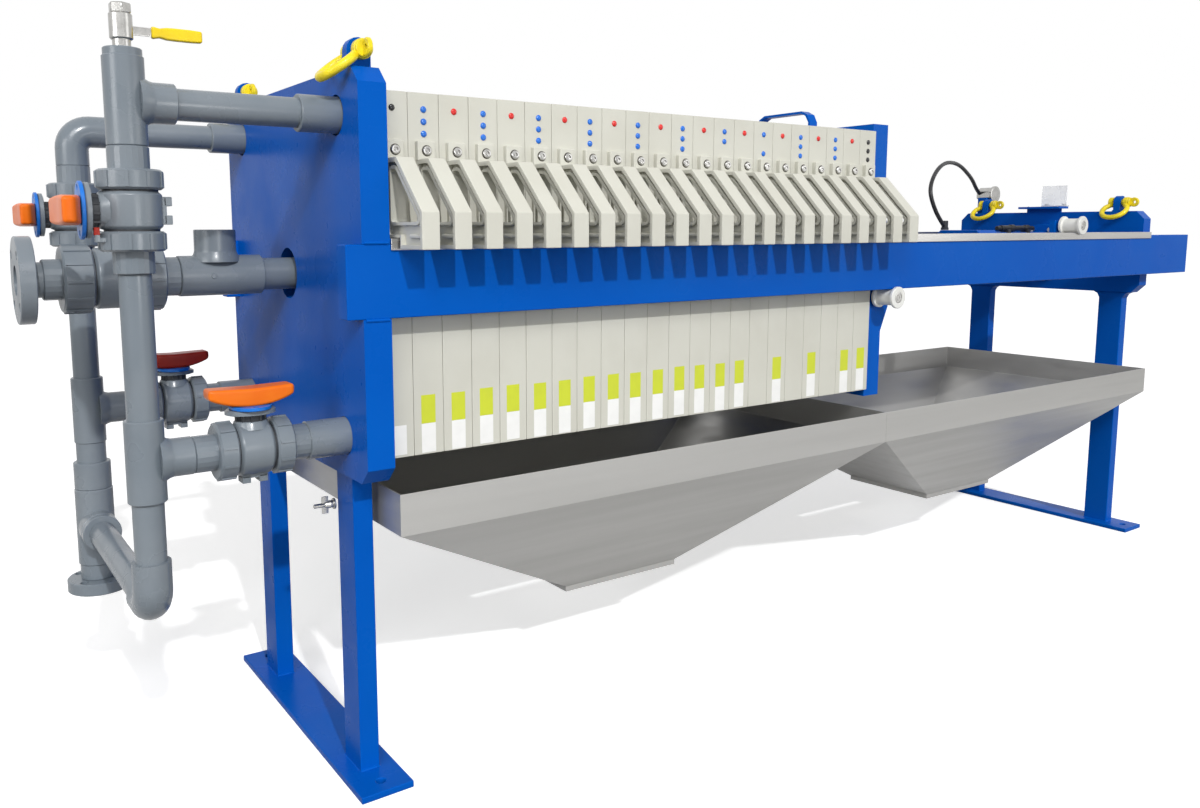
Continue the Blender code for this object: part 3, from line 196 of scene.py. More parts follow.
bpy.ops.object.select_all(action="DESELECT")
bpy.ops.mesh.primitive_plane_add(size=FLOOR_SIZE, location=(1.3, 0, 0))
floor = bpy.context.active_object
floor.name = "floor"
floor_paint = bpy.data.materials.new("floor_paint")
floor_paint.use_nodes = True
floor_tree = floor_paint.node_tree
straight = add_node(floor_tree, "LightPath").outputs["Is Camera Ray"]
pale = add_node(floor_tree, "Mix", {"data_type": "RGBA"}, Factor=background_rays(floor_tree), A=FLOOR_BOUNCE,
                B=FLOOR_SEEN)
for label, value in (("Roughness", FLOOR_ROUGHNESS), ("Emission Color", WHITE),
                     ("Base Color", pale.outputs["Result"]),
                     ("Emission Strength", calculated(floor_tree, "MULTIPLY", straight, FLOOR_GLOW))):
    feed(floor_tree, floor_tree.nodes["Principled BSDF"].inputs[label], value)
floor.data.materials.append(floor_paint)
print("lamps:", [lamp.name for lamp in bpy.data.lights])

# %% [markdown]
# Finishes share a few effects, so each effect is a node group made once. Mottle lays a second
# colour over the first in soft patches, as dust, drips and uneven mouldings do. Fine relief is
# the height of orange peel or moulding texture, and makes the gloss uneven over a broader pattern.

# %% Shared effects as node groups
COLOUR, NUMBER, VECTOR = "NodeSocketColor", "NodeSocketFloat", "NodeSocketVector"
PATCH_DETAIL, PATCH_FROM, PATCH_TO = 5.0, 0.42, 0.68
GRAIN_DETAIL = 3.0
GLOSS_SIZE, GLOSS_DETAIL, GLOSS_FROM, GLOSS_TO = 9.0, 6.0, 0.35, 0.65


def new_group(name, inputs, outputs):
    group = bpy.data.node_groups.new(name, "ShaderNodeTree")
    for label, kind, value in inputs:
        group.interface.new_socket(label, in_out="INPUT", socket_type=kind).default_value = value
    for label, kind in outputs:
        group.interface.new_socket(label, in_out="OUTPUT", socket_type=kind)
    return group, group.nodes.new("NodeGroupInput").outputs, group.nodes.new("NodeGroupOutput").inputs


def noise(tree, place, size, detail):
    return add_node(tree, "TexNoise", Vector=place, Scale=size, Detail=detail).outputs["Fac"]


def spread(tree, value, low, high, new_low=0.0, new_high=1.0):
    made = add_node(tree, "MapRange", Value=value, From_Min=low, From_Max=high, To_Min=new_low,
                    To_Max=new_high)
    return made.outputs["Result"]


mottle, given, out = new_group(
    "mottle",
    [("Place", VECTOR, (0, 0, 0)), ("Main Colour", COLOUR, WHITE), ("Patch Colour", COLOUR, (0, 0, 0, 1)),
     ("Patch Size", NUMBER, 5.0), ("Patch Amount", NUMBER, 0.5)],
    [("Colour", COLOUR), ("Patches", NUMBER)],
)
cloudy = noise(mottle, given["Place"], given["Patch Size"], PATCH_DETAIL)
patches = spread(mottle, cloudy, PATCH_FROM, PATCH_TO)
strength = calculated(mottle, "MULTIPLY", patches, given["Patch Amount"])
blend = add_node(mottle, "Mix", {"data_type": "RGBA"}, Factor=strength, A=given["Main Colour"],
                 B=given["Patch Colour"])
feed(mottle, out["Colour"], blend.outputs["Result"])
feed(mottle, out["Patches"], strength)

fine_relief, given, out = new_group(
    "fine_relief",
    [("Place", VECTOR, (0, 0, 0)), ("Grain Size", NUMBER, 200.0), ("Gloss Low", NUMBER, 0.3),
     ("Gloss High", NUMBER, 0.5)],
    [("Height", NUMBER), ("Roughness", NUMBER)],
)
feed(fine_relief, out["Height"], noise(fine_relief, given["Place"], given["Grain Size"], GRAIN_DETAIL))
broad = noise(fine_relief, given["Place"], GLOSS_SIZE, GLOSS_DETAIL)
feed(fine_relief, out["Roughness"],
     spread(fine_relief, broad, GLOSS_FROM, GLOSS_TO, given["Gloss Low"], given["Gloss High"]))
print("groups:", [group.name for group in bpy.data.node_groups])

# %% [markdown]
# A finish here is a Principled shader fed by those groups. One function makes them all, because
# paint, plastic and rubber differ only in colours, patch size, gloss and relief. Sizes are in
# object space, so a pattern keeps its real scale on a large beam and on a small bolt. A stretch
# draws the pattern out along one axis, as a rolling mill leaves the grain of stainless sheet.

# %% A function for painted and moulded finishes
COAT_ROUGHNESS = 0.12
RELIEF_DEPTH = 0.001


def moulded_finish(name, colour, patch, patch_size=4.0, amount=0.35, grain=260.0, gloss=(0.3, 0.45),
                   relief=0.12, coat=0.0, metallic=0.0, stretch=(1.0, 1.0, 1.0), shine=0.35):
    made = bpy.data.materials.new(name)
    made.use_nodes = True
    tree = made.node_tree
    place = add_node(tree, "TexCoord").outputs["Object"]
    place = add_node(tree, "Mapping", Vector=place, Scale=stretch).outputs["Vector"]
    tint = add_node(tree, "Group", {"node_tree": mottle}, Place=place, Main_Colour=(*colour, 1),
                    Patch_Colour=(*patch, 1), Patch_Size=patch_size, Patch_Amount=amount)
    texture = add_node(tree, "Group", {"node_tree": fine_relief}, Place=place, Grain_Size=grain,
                       Gloss_Low=gloss[0], Gloss_High=gloss[1])
    bump = add_node(tree, "Bump", Strength=relief, Distance=RELIEF_DEPTH, Height=texture.outputs["Height"])
    for label, value in (
        ("Base Color", tint.outputs["Colour"]), ("Metallic", metallic), ("Coat Weight", coat),
        ("Coat Roughness", COAT_ROUGHNESS), ("Specular IOR Level", shine),
        ("Roughness", texture.outputs["Roughness"]), ("Normal", bump.outputs["Normal"]),
    ):
        feed(tree, tree.nodes["Principled BSDF"].inputs[label], value)
    return made


print("a finish needs", moulded_finish.__code__.co_argcount, "numbers and colours at most")

# %% [markdown]
# The finishes themselves. The frame's enamel was brushed and sprayed thick, so it has slight
# orange peel and darker runs. The filter plates are matt polypropylene with faint grey scuffs.
# Pipe plastic has a satin skin that dust dulls in patches, and the yellow shackles show darker
# metal where the powder coat is scraped. Both stainless sheets have a grain along the press.

# %% The press's finishes
# Name, colour, patch colour, patch size, patch amount, grain, gloss, relief, coat, metallic, stretch.
blue_enamel = moulded_finish("blue_enamel", (0.0005, 0.086, 0.44), (0.001, 0.112, 0.50), 3.2, 0.40, 150.0,
                             (0.24, 0.38), 0.14, shine=0.05)
plate_plastic = moulded_finish("plate_plastic", (0.575, 0.57, 0.505), (0.49, 0.48, 0.415), 9.0, 0.35, 420.0,
                               (0.42, 0.60), 0.10)
pipe_plastic = moulded_finish("pipe_plastic", (0.150, 0.178, 0.205), (0.215, 0.240, 0.262), 7.0, 0.45, 340.0,
                              (0.22, 0.40), 0.10, 0.10, shine=0.45)
dark_plastic = moulded_finish("dark_plastic", (0.020, 0.023, 0.028), (0.050, 0.053, 0.058), 20.0, 0.45,
                              300.0, (0.35, 0.55), 0.12)
orange_handle = moulded_finish("orange_handle", (0.74, 0.135, 0.004), (0.82, 0.20, 0.012), 24.0, 0.45,
                               500.0, (0.30, 0.42), 0.10, shine=0.22)
red_handle = moulded_finish("red_handle", (0.30, 0.012, 0.006), (0.42, 0.035, 0.012), 24.0, 0.50, 500.0,
                            (0.30, 0.42), 0.10, shine=0.22)
blue_disc = moulded_finish("blue_disc", (0.005, 0.14, 0.55), (0.02, 0.20, 0.66), 30.0, 0.40, 500.0,
                           (0.28, 0.42), 0.08)
shackle_yellow = moulded_finish("shackle_yellow", (0.86, 0.68, 0.010), (0.46, 0.38, 0.02), 42.0, 0.50, 380.0,
                                (0.28, 0.46), 0.30, 0.15)
white_nylon = moulded_finish("white_nylon", (0.74, 0.74, 0.71), (0.60, 0.60, 0.56), 28.0, 0.35, 500.0,
                             (0.30, 0.45), 0.08, shine=0.5)
black_rubber = moulded_finish("black_rubber", (0.010, 0.010, 0.012), (0.030, 0.030, 0.033), 40.0, 0.40,
                              700.0, (0.36, 0.55), 0.20)
sleeve_yellow = moulded_finish("sleeve_yellow", (0.85, 0.62, 0.01), (0.70, 0.48, 0.01), 60.0, 0.35, 600.0,
                               (0.28, 0.42), 0.12)
zinc_plate = moulded_finish("zinc_plate", (0.46, 0.455, 0.44), (0.29, 0.285, 0.27), 70.0, 0.45, 600.0,
                            (0.20, 0.36), 0.12, 0.0, 1.0)
chrome_rod = moulded_finish("chrome_rod", (0.58, 0.59, 0.60), (0.48, 0.49, 0.50), 18.0, 0.35, 500.0,
                            (0.05, 0.14), 0.03, 0.0, 1.0)
socket_shadow = moulded_finish("socket_shadow", (0.055, 0.050, 0.040), (0.10, 0.09, 0.07), 60.0, 0.40, 500.0,
                               (0.5, 0.7), 0.05)
label_yellow, label_white = [
    moulded_finish(name, colour, patch, 40.0, 0.40, 500.0, (0.40, 0.55), 0.05) for name, colour, patch in
    (("label_yellow", (0.56, 0.62, 0.035), (0.50, 0.55, 0.04)),
     ("label_white", (0.82, 0.82, 0.80), (0.74, 0.74, 0.72)))]
stud_blue, stud_red, stud_black = [
    moulded_finish(name, colour, patch, 60.0, 0.40, 500.0, (0.14, 0.24), 0.03, 0.3)
    for name, colour, patch in (("stud_blue", (0.005, 0.13, 0.58), (0.01, 0.18, 0.66)),
                                ("stud_red", (0.62, 0.010, 0.008), (0.70, 0.03, 0.02)),
                                ("stud_black", (0.008, 0.008, 0.009), (0.025, 0.025, 0.027)))]
tray_steel = moulded_finish("tray_steel", (0.43, 0.425, 0.41), (0.36, 0.355, 0.34), 2.2, 0.50, 120.0,
                            (0.30, 0.46), 0.05, 0.0, 0.62, (0.25, 1.0, 5.0), 0.5)
rail_steel = moulded_finish("rail_steel", (0.50, 0.49, 0.47), (0.38, 0.37, 0.35), 6.0, 0.45, 200.0,
                            (0.24, 0.38), 0.08, 0.0, 1.0, (0.20, 3.0, 3.0))
print("finishes:", len([material for material in bpy.data.materials if material.use_nodes]))

# %% [markdown]
# Small helpers keep the modelling short. A finished piece has its place in its mesh and rides on a
# body. Faces are picked in code by their middle and normal, because there is no mouse here.

# %% Helpers for modelling and finishing
MERGE_WITHIN = 0.00002


def only(piece):
    bpy.ops.object.select_all(action="DESELECT")
    piece.select_set(True)
    bpy.context.view_layer.objects.active = piece


def settle(piece):
    """Puts the object's place, turn and scale into its mesh."""
    only(piece)
    bpy.ops.object.transform_apply(location=True, rotation=True, scale=True)
    return piece


def start_picking(piece, edges):
    """Clears the piece's selection and sets edge or face picking."""
    only(piece)
    bpy.context.tool_settings.mesh_select_mode = (False, edges, not edges)
    mesh = piece.data
    for group in (mesh.vertices, mesh.edges, mesh.polygons):
        group.foreach_set("select", [False] * len(group))
    return mesh


def pick_faces(piece, wanted):
    """Selects the faces for which wanted(middle, normal) is true, and enters edit mode."""
    count = 0
    for face in start_picking(piece, False).polygons:
        face.select = wanted(face.center, face.normal)
        count += face.select
    bpy.ops.object.mode_set(mode="EDIT")
    return count


def pick_edges(piece, wanted):
    """Selects the edges for which wanted(first end, last end) is true, and enters edit mode."""
    mesh = start_picking(piece, True)
    for edge in mesh.edges:
        edge.select = wanted(*(mesh.vertices[index].co for index in edge.vertices))
    bpy.ops.object.mode_set(mode="EDIT")


def leave_edit():
    bpy.ops.object.mode_set(mode="OBJECT")


def edit_all(piece):
    """Enters edit mode with the whole piece selected."""
    only(piece)
    bpy.ops.object.mode_set(mode="EDIT")
    bpy.ops.mesh.select_all(action="SELECT")


def recalculated(piece):
    edit_all(piece)
    bpy.ops.mesh.remove_doubles(threshold=MERGE_WITHIN)
    bpy.ops.mesh.normals_make_consistent(inside=False)
    leave_edit()
    return piece


def sliced(piece, planes, **clearing):
    """Cuts through the whole piece at each plane, given as a point and a normal."""
    for point, normal in planes:
        edit_all(piece)
        bpy.ops.mesh.bisect(plane_co=point, plane_no=normal, **clearing)
        leave_edit()
    return piece


def reshaped(piece, way):
    """Moves every corner of the mesh to where way(x, y, z) puts it."""
    for vertex in piece.data.vertices:
        vertex.co = way(*vertex.co)
    return piece


def rounded(piece, width, segments=2, angle=35.0):
    """A bevel on the sharp edges, applied, then smooth shading with crisp corners."""
    only(piece)
    bevel = piece.modifiers.new("edge_round", "BEVEL")
    bevel.width = width
    bevel.segments = segments
    bevel.limit_method = "ANGLE"
    bevel.angle_limit = math.radians(angle)
    bpy.ops.object.modifier_apply(modifier=bevel.name)
    return smooth(piece, 40.0)


def smooth(piece, angle=30.0):
    only(piece)
    bpy.ops.object.shade_smooth_by_angle(angle=math.radians(angle))
    return piece


def joined(pieces, name):
    only(pieces[0])
    for piece in pieces[1:]:
        piece.select_set(True)
    bpy.ops.object.join()
    made = bpy.context.active_object
    made.name = name
    return made


def paint(piece, material):
    piece.data.materials.clear()
    piece.data.materials.append(material)
    return piece


def done(piece, name, body, slot_name, *nodes):
    """Joins a list of parts, evens the shading, names the piece, lets it ride and hides the nodes it stands
    for.
    """
    if isinstance(piece, list):
        piece = joined(piece, name)
    only(piece)
    even = piece.modifiers.new("even_shading", "WEIGHTED_NORMAL")
    even.keep_sharp = True
    bpy.ops.object.modifier_apply(modifier=even.name)
    piece.name = name
    piece.data.name = name
    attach(piece, body)
    if nodes:
        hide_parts(*nodes)
    return piece


def copied(piece):
    """A copy with its own mesh."""
    made = piece.copy()
    made.data = piece.data.copy()
    bpy.context.scene.collection.objects.link(made)
    return made


def shifted(piece, offset):
    for vertex in piece.data.vertices:
        vertex.co += Vector(offset)
    return piece


AXIS_TURN = {"X": (0, math.pi / 2, 0), "Y": (-math.pi / 2, 0, 0), "Z": (0, 0, 0)}
AXIS_VECTOR = {"X": Vector((1, 0, 0)), "Y": Vector((0, 1, 0)), "Z": Vector((0, 0, 1))}


def turned_piece(axis, start, rows, centre, material, sides=48, sign=1):
    """A disc extruded along an axis; each row is (length, diameter) or (length, first, last)."""
    direction = AXIS_VECTOR[axis] * sign
    place = Vector(centre)
    place -= AXIS_VECTOR[axis] * place.dot(AXIS_VECTOR[axis])
    place += AXIS_VECTOR[axis] * start
    bpy.ops.object.select_all(action="DESELECT")
    size = rows[0][1]
    bpy.ops.mesh.primitive_circle_add(vertices=sides, radius=size / 2, fill_type="NGON", location=place,
                                      rotation=AXIS_TURN[axis])
    made = settle(bpy.context.active_object)
    edit_all(made)
    for row in rows:
        length, first, last = row[0], row[1], row[-1]
        if abs(first - size) > 1e-7:
            bpy.ops.mesh.extrude_region_move()
            bpy.ops.transform.resize(value=(first / size,) * 3, center_override=place)
        bpy.ops.mesh.extrude_region_move(TRANSFORM_OT_translate={"value": direction * length})
        place = place + direction * length
        if abs(last - first) > 1e-7:
            bpy.ops.transform.resize(value=(last / first,) * 3, center_override=place)
        size = last
    leave_edit()
    return smooth(paint(recalculated(made), material))


def bent_rod(points, diameter, material, sides=16):
    """A round rod along points: a curve with a bevel, converted to a mesh."""
    curve = bpy.data.curves.new("bent_rod", "CURVE")
    curve.dimensions = "3D"
    curve.bevel_depth = diameter / 2
    curve.bevel_resolution = max(sides // 4 - 1, 1)
    curve.use_fill_caps = True
    line = curve.splines.new("POLY")
    line.points.add(len(points) - 1)
    for spot, place in zip(line.points, points):
        spot.co = (*place, 1)
    made = bpy.data.objects.new("bent_rod", curve)
    bpy.context.scene.collection.objects.link(made)
    only(made)
    bpy.ops.object.convert(target="MESH")
    made = bpy.context.active_object
    paint(made, material)
    return smooth(recalculated(made), 40.0)


def block(low, high, material, width=0.0, segments=2):
    """A box between two corners, with its edges rounded."""
    low, high = Vector(low), Vector(high)
    bpy.ops.object.select_all(action="DESELECT")
    bpy.ops.mesh.primitive_cube_add(size=1.0, location=(low + high) / 2)
    made = bpy.context.active_object
    made.scale = high - low
    settle(made)
    paint(made, material)
    return rounded(made, width, segments) if width else made


def hex_piece(axis, start, length, across, centre, material, sign=1):
    """A nut or bolt head: a six-sided bar with its corners chamfered by a small bevel."""
    made = turned_piece(axis, start, [(length, across / math.cos(math.pi / 6))], centre, material, 6, sign)
    return rounded(made, across * 0.05, 1, 50.0)


def softened(node, material, width, name, body, slot_name):
    """A node's own shape with eased edges: a merged copy, dissolved flat, then bevelled."""
    made = copied(frame["nodes"][node])
    made.parent = None
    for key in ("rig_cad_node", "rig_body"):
        if key in made:
            del made[key]
    edit_all(made)
    bpy.ops.mesh.remove_doubles(threshold=MERGE_WITHIN)
    bpy.ops.mesh.dissolve_limited(angle_limit=math.radians(1.0))
    leave_edit()
    paint(made, material)
    rounded(made, width, 2)
    return done(made, name, body, slot_name, node)


print("helpers ready; points closer than", MERGE_WITHIN, "m are merged")

# %% [markdown]
# The hydraulic hose is a cord with both ends on the machine. It leaves the cylinder's front
# block, loops up and comes down to a steel fitting behind the tail plate. Its points repeat the
# solid's route, and a Catmull-Rom curve passes smoothly through them all.

# %% The hydraulic hose and its fittings
HOSE_DIAMETER = 0.0130
HOSE_SPOTS = (
    (2.175, 0.065, 1.001), (2.128, 0.068, 1.052), (2.110, 0.078, 1.111), (2.144, 0.095, 1.159),
    (2.226, 0.125, 1.201), (2.328, 0.160, 1.219), (2.458, 0.205, 1.213), (2.597, 0.252, 1.178),
    (2.683, 0.283, 1.142), (2.735, 0.297, 1.120),
)
HOSE_STEPS = 6


def smooth_route(spots, count):
    """Points on a Catmull-Rom curve through the spots."""
    spots = [Vector(spot) for spot in spots]
    route = []
    for index in range(len(spots) - 1):
        before = spots[max(index - 1, 0)]
        first, second = spots[index], spots[index + 1]
        after = spots[min(index + 2, len(spots) - 1)]
        for step in range(count):
            t = step / count
            route.append(0.5 * (2 * first + (second - before) * t
                                + (2 * before - 5 * first + 4 * second - after) * t * t
                                + (3 * first - before - 3 * second + after) * t * t * t))
    route.append(spots[-1])
    return route


hose_route = smooth_route(HOSE_SPOTS, HOSE_STEPS)
hose_length = sum((b - a).length for a, b in zip(hose_route, hose_route[1:]))
hose = bent_rod(hose_route, HOSE_DIAMETER, black_rubber, 16)
done(hose, "hose", "frame", "black_rubber", "hydraulic_hose")
print("hose length in metres:", round(hose_length, 3))

FITTING_X, FITTING_Y, FITTING_Z = 2.7417, 0.240, 1.122
COLLAR_ROWS = [(0.008, 0.024), (0.019, 0.020), (0.003, 0.020, 0.017)]
CAP_ROWS = [(0.002, 0.050, 0.058), (0.008, 0.060), (0.003, 0.060, 0.048)]
POST_LOW, POST_HIGH = (2.7050, 0.2555, 0.990), (2.7417, 0.2895, 1.110)
fitting_spot = (FITTING_X, 0, FITTING_Z)
hose_end = joined([
    turned_piece("Z", 0.9925, COLLAR_ROWS, (2.175, 0.065, 0), dark_plastic, 24),
    hex_piece("Y", FITTING_Y + 0.006, 0.059, 0.046, fitting_spot, zinc_plate),
    turned_piece("Y", FITTING_Y, CAP_ROWS, fitting_spot, zinc_plate, 32)], "hose_end_fittings")
done(hose_end, "hose_end_fittings", "frame", "stainless")
done(block(POST_LOW, POST_HIGH, blue_enamel, 0.002), "hose_fitting_post", "frame", "blue_paint")

# %% [markdown]
# The heavy frame is cut from thick plate and painted. The solids have its exact shape already,
# so a merged copy with eased edges is enough: paint always rounds a burnt or sawn edge, and that
# thin bright line along each corner is what makes it read as steel and not as card.

# %% Head, beams, tail, stands and follower in blue enamel
for node, width in (("head_plate", 0.0025), ("near_side_beam", 0.002), ("far_side_beam", 0.002),
                    ("tail_plate", 0.002), ("head_stand", 0.003), ("tail_stand", 0.003)):
    softened(node, blue_enamel, width, node + "_painted", "frame", "blue_paint")
softened("follower", blue_enamel, 0.0018, "follower_painted", "follower", "blue_paint")
for node in ("near_rail", "far_rail"):
    softened(node, rail_steel, 0.0008, node + "_brushed", "frame", "stainless")
for node in ("head_drip_tray", "tail_drip_tray"):
    softened(node, tray_steel, 0.0008, node + "_folded", "frame", "stainless")

# %% [markdown]
# A filter plate is a thick square of moulded polypropylene with a hand grip on each side. The
# grip is a frame: a sloping outer edge, a knee, and a foot that sits on the rail and hooks outside
# it. On both faces it is sunk inside its border and carries a rounded rim round the finger
# opening. Every one of those shapes is the same sloped block, inset by a different amount, so one
# function makes the block and Boolean modifiers cut or fuse it.

# %% Plate and grip sizes
PLATE_COUNT = 22
PLATE_PITCH = 0.059
PLATE_HALF = 0.315
PLATE_GAP = 0.0003
PLATE_ROUND = 0.0016
AXIS_Z = 0.916
ON_AXIS = (0, 0, AXIS_Z)
FIRST_PLATE_X = 0.022
PLATE_MIDDLE = FIRST_PLATE_X + PLATE_PITCH / 2
RAIL_TOP = 0.985
GRIP_HALF = 0.016
GRIP_TOP = RAIL_TOP + 0.1335
GRIP_KNEE = RAIL_TOP + 0.0425
GRIP_FAR = PLATE_HALF + 0.138
GRIP_SHELF = PLATE_HALF + 0.047
GRIP_ROOT = PLATE_HALF - 0.003
GRIP_LIP_INNER = 0.3703
GRIP_LIP_LOW = RAIL_TOP - 0.018
GRIP_BORDER = 0.0080
GRIP_SINK = 0.0080
POCKET_LOW = RAIL_TOP + 0.0060
TOE_LOW = RAIL_TOP - 0.0110
TOE_WALL = 0.0050
PIN_LOW = RAIL_TOP
PIN_HIGH = RAIL_TOP + 0.0068
PIN_REACH = (0.052, 0.010)
RIM_INSET = 0.0130
RIM_WIDTH = 0.0060
RIM_SUNK = 0.0018
RIM_LOW = RAIL_TOP + 0.0205
RIM_CORNER = 0.0110
WINDOW_CORNER = 0.0055
KNEE_SHARE = 0.4
POCKET_CORNER = 0.0050
CUT_PAST = 0.004
TAB_SIZE = (0.034, 0.011, 0.034)
SLOPE = Vector((0, GRIP_FAR - GRIP_SHELF, GRIP_KNEE - GRIP_TOP))
SLOPE_NORMAL = Vector((0, -SLOPE.z, SLOPE.y)).normalized()


def sloped_block(half_width, inset, low, corner, root=None):
    """The grip's own outline, drawn in by an inset, with its slope cut off a box."""
    near = PLATE_HALF + inset if root is None else root
    made = block((PLATE_MIDDLE - half_width, near, low),
                 (PLATE_MIDDLE + half_width, GRIP_FAR - inset, GRIP_TOP - inset), plate_plastic)
    knee = Vector((0, GRIP_FAR, GRIP_KNEE)) - SLOPE_NORMAL * inset
    recalculated(sliced(made, [(knee, SLOPE_NORMAL)], clear_outer=True, use_fill=True))
    if corner:
        bands = ((low - 0.001, low + 0.001, corner),
                 (low + corner + 0.001, GRIP_KNEE, corner * KNEE_SHARE),
                 (GRIP_KNEE + 0.001, GRIP_TOP, corner))
        for lowest, highest, size in bands:
            pick_edges(made, lambda first, last: abs(first.x - last.x) > half_width
                       and lowest < first.z < highest)
            bpy.ops.mesh.bevel(offset=size, segments=5)
            leave_edit()
    return made


def boolean(piece, tool, operation):
    only(piece)
    cut = piece.modifiers.new("cut", "BOOLEAN")
    cut.operation = operation
    cut.solver = "MANIFOLD"
    cut.object = tool
    bpy.ops.object.modifier_apply(modifier=cut.name)
    bpy.data.objects.remove(tool, do_unlink=True)
    return piece


def far_side_grip():
    made = sloped_block(GRIP_HALF, 0.0, RAIL_TOP + PLATE_GAP, 0.0, GRIP_ROOT)
    lip = block((PLATE_MIDDLE - GRIP_HALF, GRIP_LIP_INNER, GRIP_LIP_LOW),
                (PLATE_MIDDLE + GRIP_HALF, GRIP_FAR, RAIL_TOP + 0.01), plate_plastic)
    boolean(made, lip, "UNION")
    rounded(made, 0.0018, 2)
    deep = GRIP_HALF - GRIP_SINK
    for side in (-1, 1):
        aside = (side * 2 * deep, 0, 0)
        pocket = sloped_block(deep, GRIP_BORDER, POCKET_LOW, POCKET_CORNER)
        boolean(made, shifted(pocket, aside), "DIFFERENCE")
        toe = block((PLATE_MIDDLE - deep, GRIP_LIP_INNER + TOE_WALL, TOE_LOW),
                    (PLATE_MIDDLE + deep, GRIP_FAR - GRIP_BORDER, POCKET_LOW + CUT_PAST), plate_plastic)
        boolean(made, shifted(toe, aside), "DIFFERENCE")
    pin = block((PLATE_MIDDLE - GRIP_HALF + RIM_SUNK, GRIP_FAR - PIN_REACH[0], PIN_LOW),
                (PLATE_MIDDLE + GRIP_HALF - RIM_SUNK, GRIP_FAR - PIN_REACH[1], PIN_HIGH),
                plate_plastic, 0.0022)
    boolean(made, pin, "UNION")
    rim = sloped_block(GRIP_HALF - RIM_SUNK, RIM_INSET, RIM_LOW, RIM_CORNER)
    boolean(made, rounded(rim, 0.0020, 2, 50.0), "UNION")
    window = sloped_block(GRIP_HALF + CUT_PAST, RIM_INSET + RIM_WIDTH, RIM_LOW + RIM_WIDTH, WINDOW_CORNER)
    boolean(made, window, "DIFFERENCE")
    return smooth(recalculated(made), 35.0)


grip = far_side_grip()
print("grip faces:", len(grip.data.polygons))

# %% [markdown]
# All plates of a stack come out of one mould, so one plate is modelled and copied at the pitch.
# A plate is a square slab with its grips welded on, the same on both sides.

# %% One plate, then twenty-two copies
half_pitch = PLATE_PITCH / 2 - PLATE_GAP / 2
slab = block((PLATE_MIDDLE - half_pitch, -PLATE_HALF, AXIS_Z - PLATE_HALF),
             (PLATE_MIDDLE + half_pitch, PLATE_HALF, AXIS_Z + PLATE_HALF), plate_plastic, PLATE_ROUND)
tab_low = GRIP_TOP - 0.003
tab = block((PLATE_MIDDLE - TAB_SIZE[0] / 2, PLATE_HALF - 0.002, tab_low),
            (PLATE_MIDDLE + TAB_SIZE[0] / 2, PLATE_HALF + TAB_SIZE[1], tab_low + TAB_SIZE[2]),
            plate_plastic, 0.0022, 3)


def mirrored_y(piece):
    return smooth(recalculated(reshaped(copied(piece), lambda x, y, z: (x, -y, z))), 35.0)


first_plate = joined([slab, grip, tab, mirrored_y(grip), mirrored_y(tab)], "first_plate")
for index in range(PLATE_COUNT):
    plate = shifted(copied(first_plate), (index * PLATE_PITCH, 0, 0))
    number = f"{index + 1:02d}"
    done(plate, f"plate_{number}_moulded", "frame", "polypropylene", f"filter_plate_{number}")
bpy.data.objects.remove(first_plate, do_unlink=True)
print("faces in a plate:", len(plate.data.polygons))

# %% [markdown]
# Each plate's side carries coloured plastic studs that tell the operator which kind of plate it
# is, so a stack can't be put together in the wrong order. A stainless screw holds every grip. A
# stud and a screw are each modelled once from a disc, then copied along the stack and joined.

# %% Studs, grip screws and blank inspection stickers
STUD_TOP = AXIS_Z + PLATE_HALF - 0.028
STUD_STEP = 0.0205
STUD_ROWS = [(0.0010, 0.0112), (0.0012, 0.0112, 0.0094), (0.0009, 0.0094, 0.0060), (0.0003, 0.0060, 0.0020)]
SCREW_Z = tab_low + 0.0175
SCREW_ROWS = [(0.0022, 0.0162), (0.0012, 0.0162, 0.0142), (0.0004, 0.0142, 0.0118), (-0.0022, 0.0080),
              (0.0010, 0.0044)]
NOTCH_ROWS = [(0.0002, 0.0190), (0.0001, 0.0190, 0.0186)]
MISSING_STUDS = {(14, 2), (16, 1)}


def studs_on(index):
    """The stud material of a plate and how many it has."""
    if index == 1:
        return "black", 1
    if index == PLATE_COUNT:
        return "black", 3
    return ("blue", 3) if index % 2 == 0 else ("red", 1)


def stamped(model, spots, name, material_slot):
    """Copies of a small near-side model at (x, z) spots, and mirrored on the far side."""
    copies = []
    for x, z in spots:
        near = shifted(copied(model), (x, 0, z))
        copies += [near, mirrored_y(near)]
    bpy.data.objects.remove(model, do_unlink=True)
    made = smooth(joined(copies, name), 40.0)
    return done(made, name, "frame", material_slot)


spots = {"blue": [], "red": [], "black": []}
for index in range(1, PLATE_COUNT + 1):
    kind, count = studs_on(index)
    middle = PLATE_MIDDLE + (index - 1) * PLATE_PITCH
    spots[kind] += [(middle, STUD_TOP - step * STUD_STEP) for step in range(count)
                    if (index, step) not in MISSING_STUDS]
for kind, material in (("blue", stud_blue), ("red", stud_red), ("black", stud_black)):
    stud = turned_piece("Y", -PLATE_HALF, STUD_ROWS, (0, 0, 0), material, 16, -1)
    stamped(stud, spots[kind], f"{kind}_studs", "polypropylene")

screw_spots = [(PLATE_MIDDLE + index * PLATE_PITCH, SCREW_Z) for index in range(PLATE_COUNT)]
tab_face = -PLATE_HALF - TAB_SIZE[1]
stamped(turned_piece("Y", tab_face - 0.0003, SCREW_ROWS, (0, 0, 0), zinc_plate, 18, -1), screw_spots,
        "grip_screws", "stainless")
# Round each screw head a thin dark disc is painted shade, standing for the shadow in the screw's recess.
stamped(turned_piece("Y", tab_face, NOTCH_ROWS, (0, 0, 0), socket_shadow, 18, -1), screw_spots,
        "screw_recesses", "polypropylene")

STICKER_WIDTH = 0.028
STICKER_THICK = 0.0003
YELLOW_STICKER = (0.6575, 0.7085)
WHITE_STICKER = (0.6045, 0.6570)
STICKER_PLATES = [*range(1, 16), 17, 19, 21, 22]


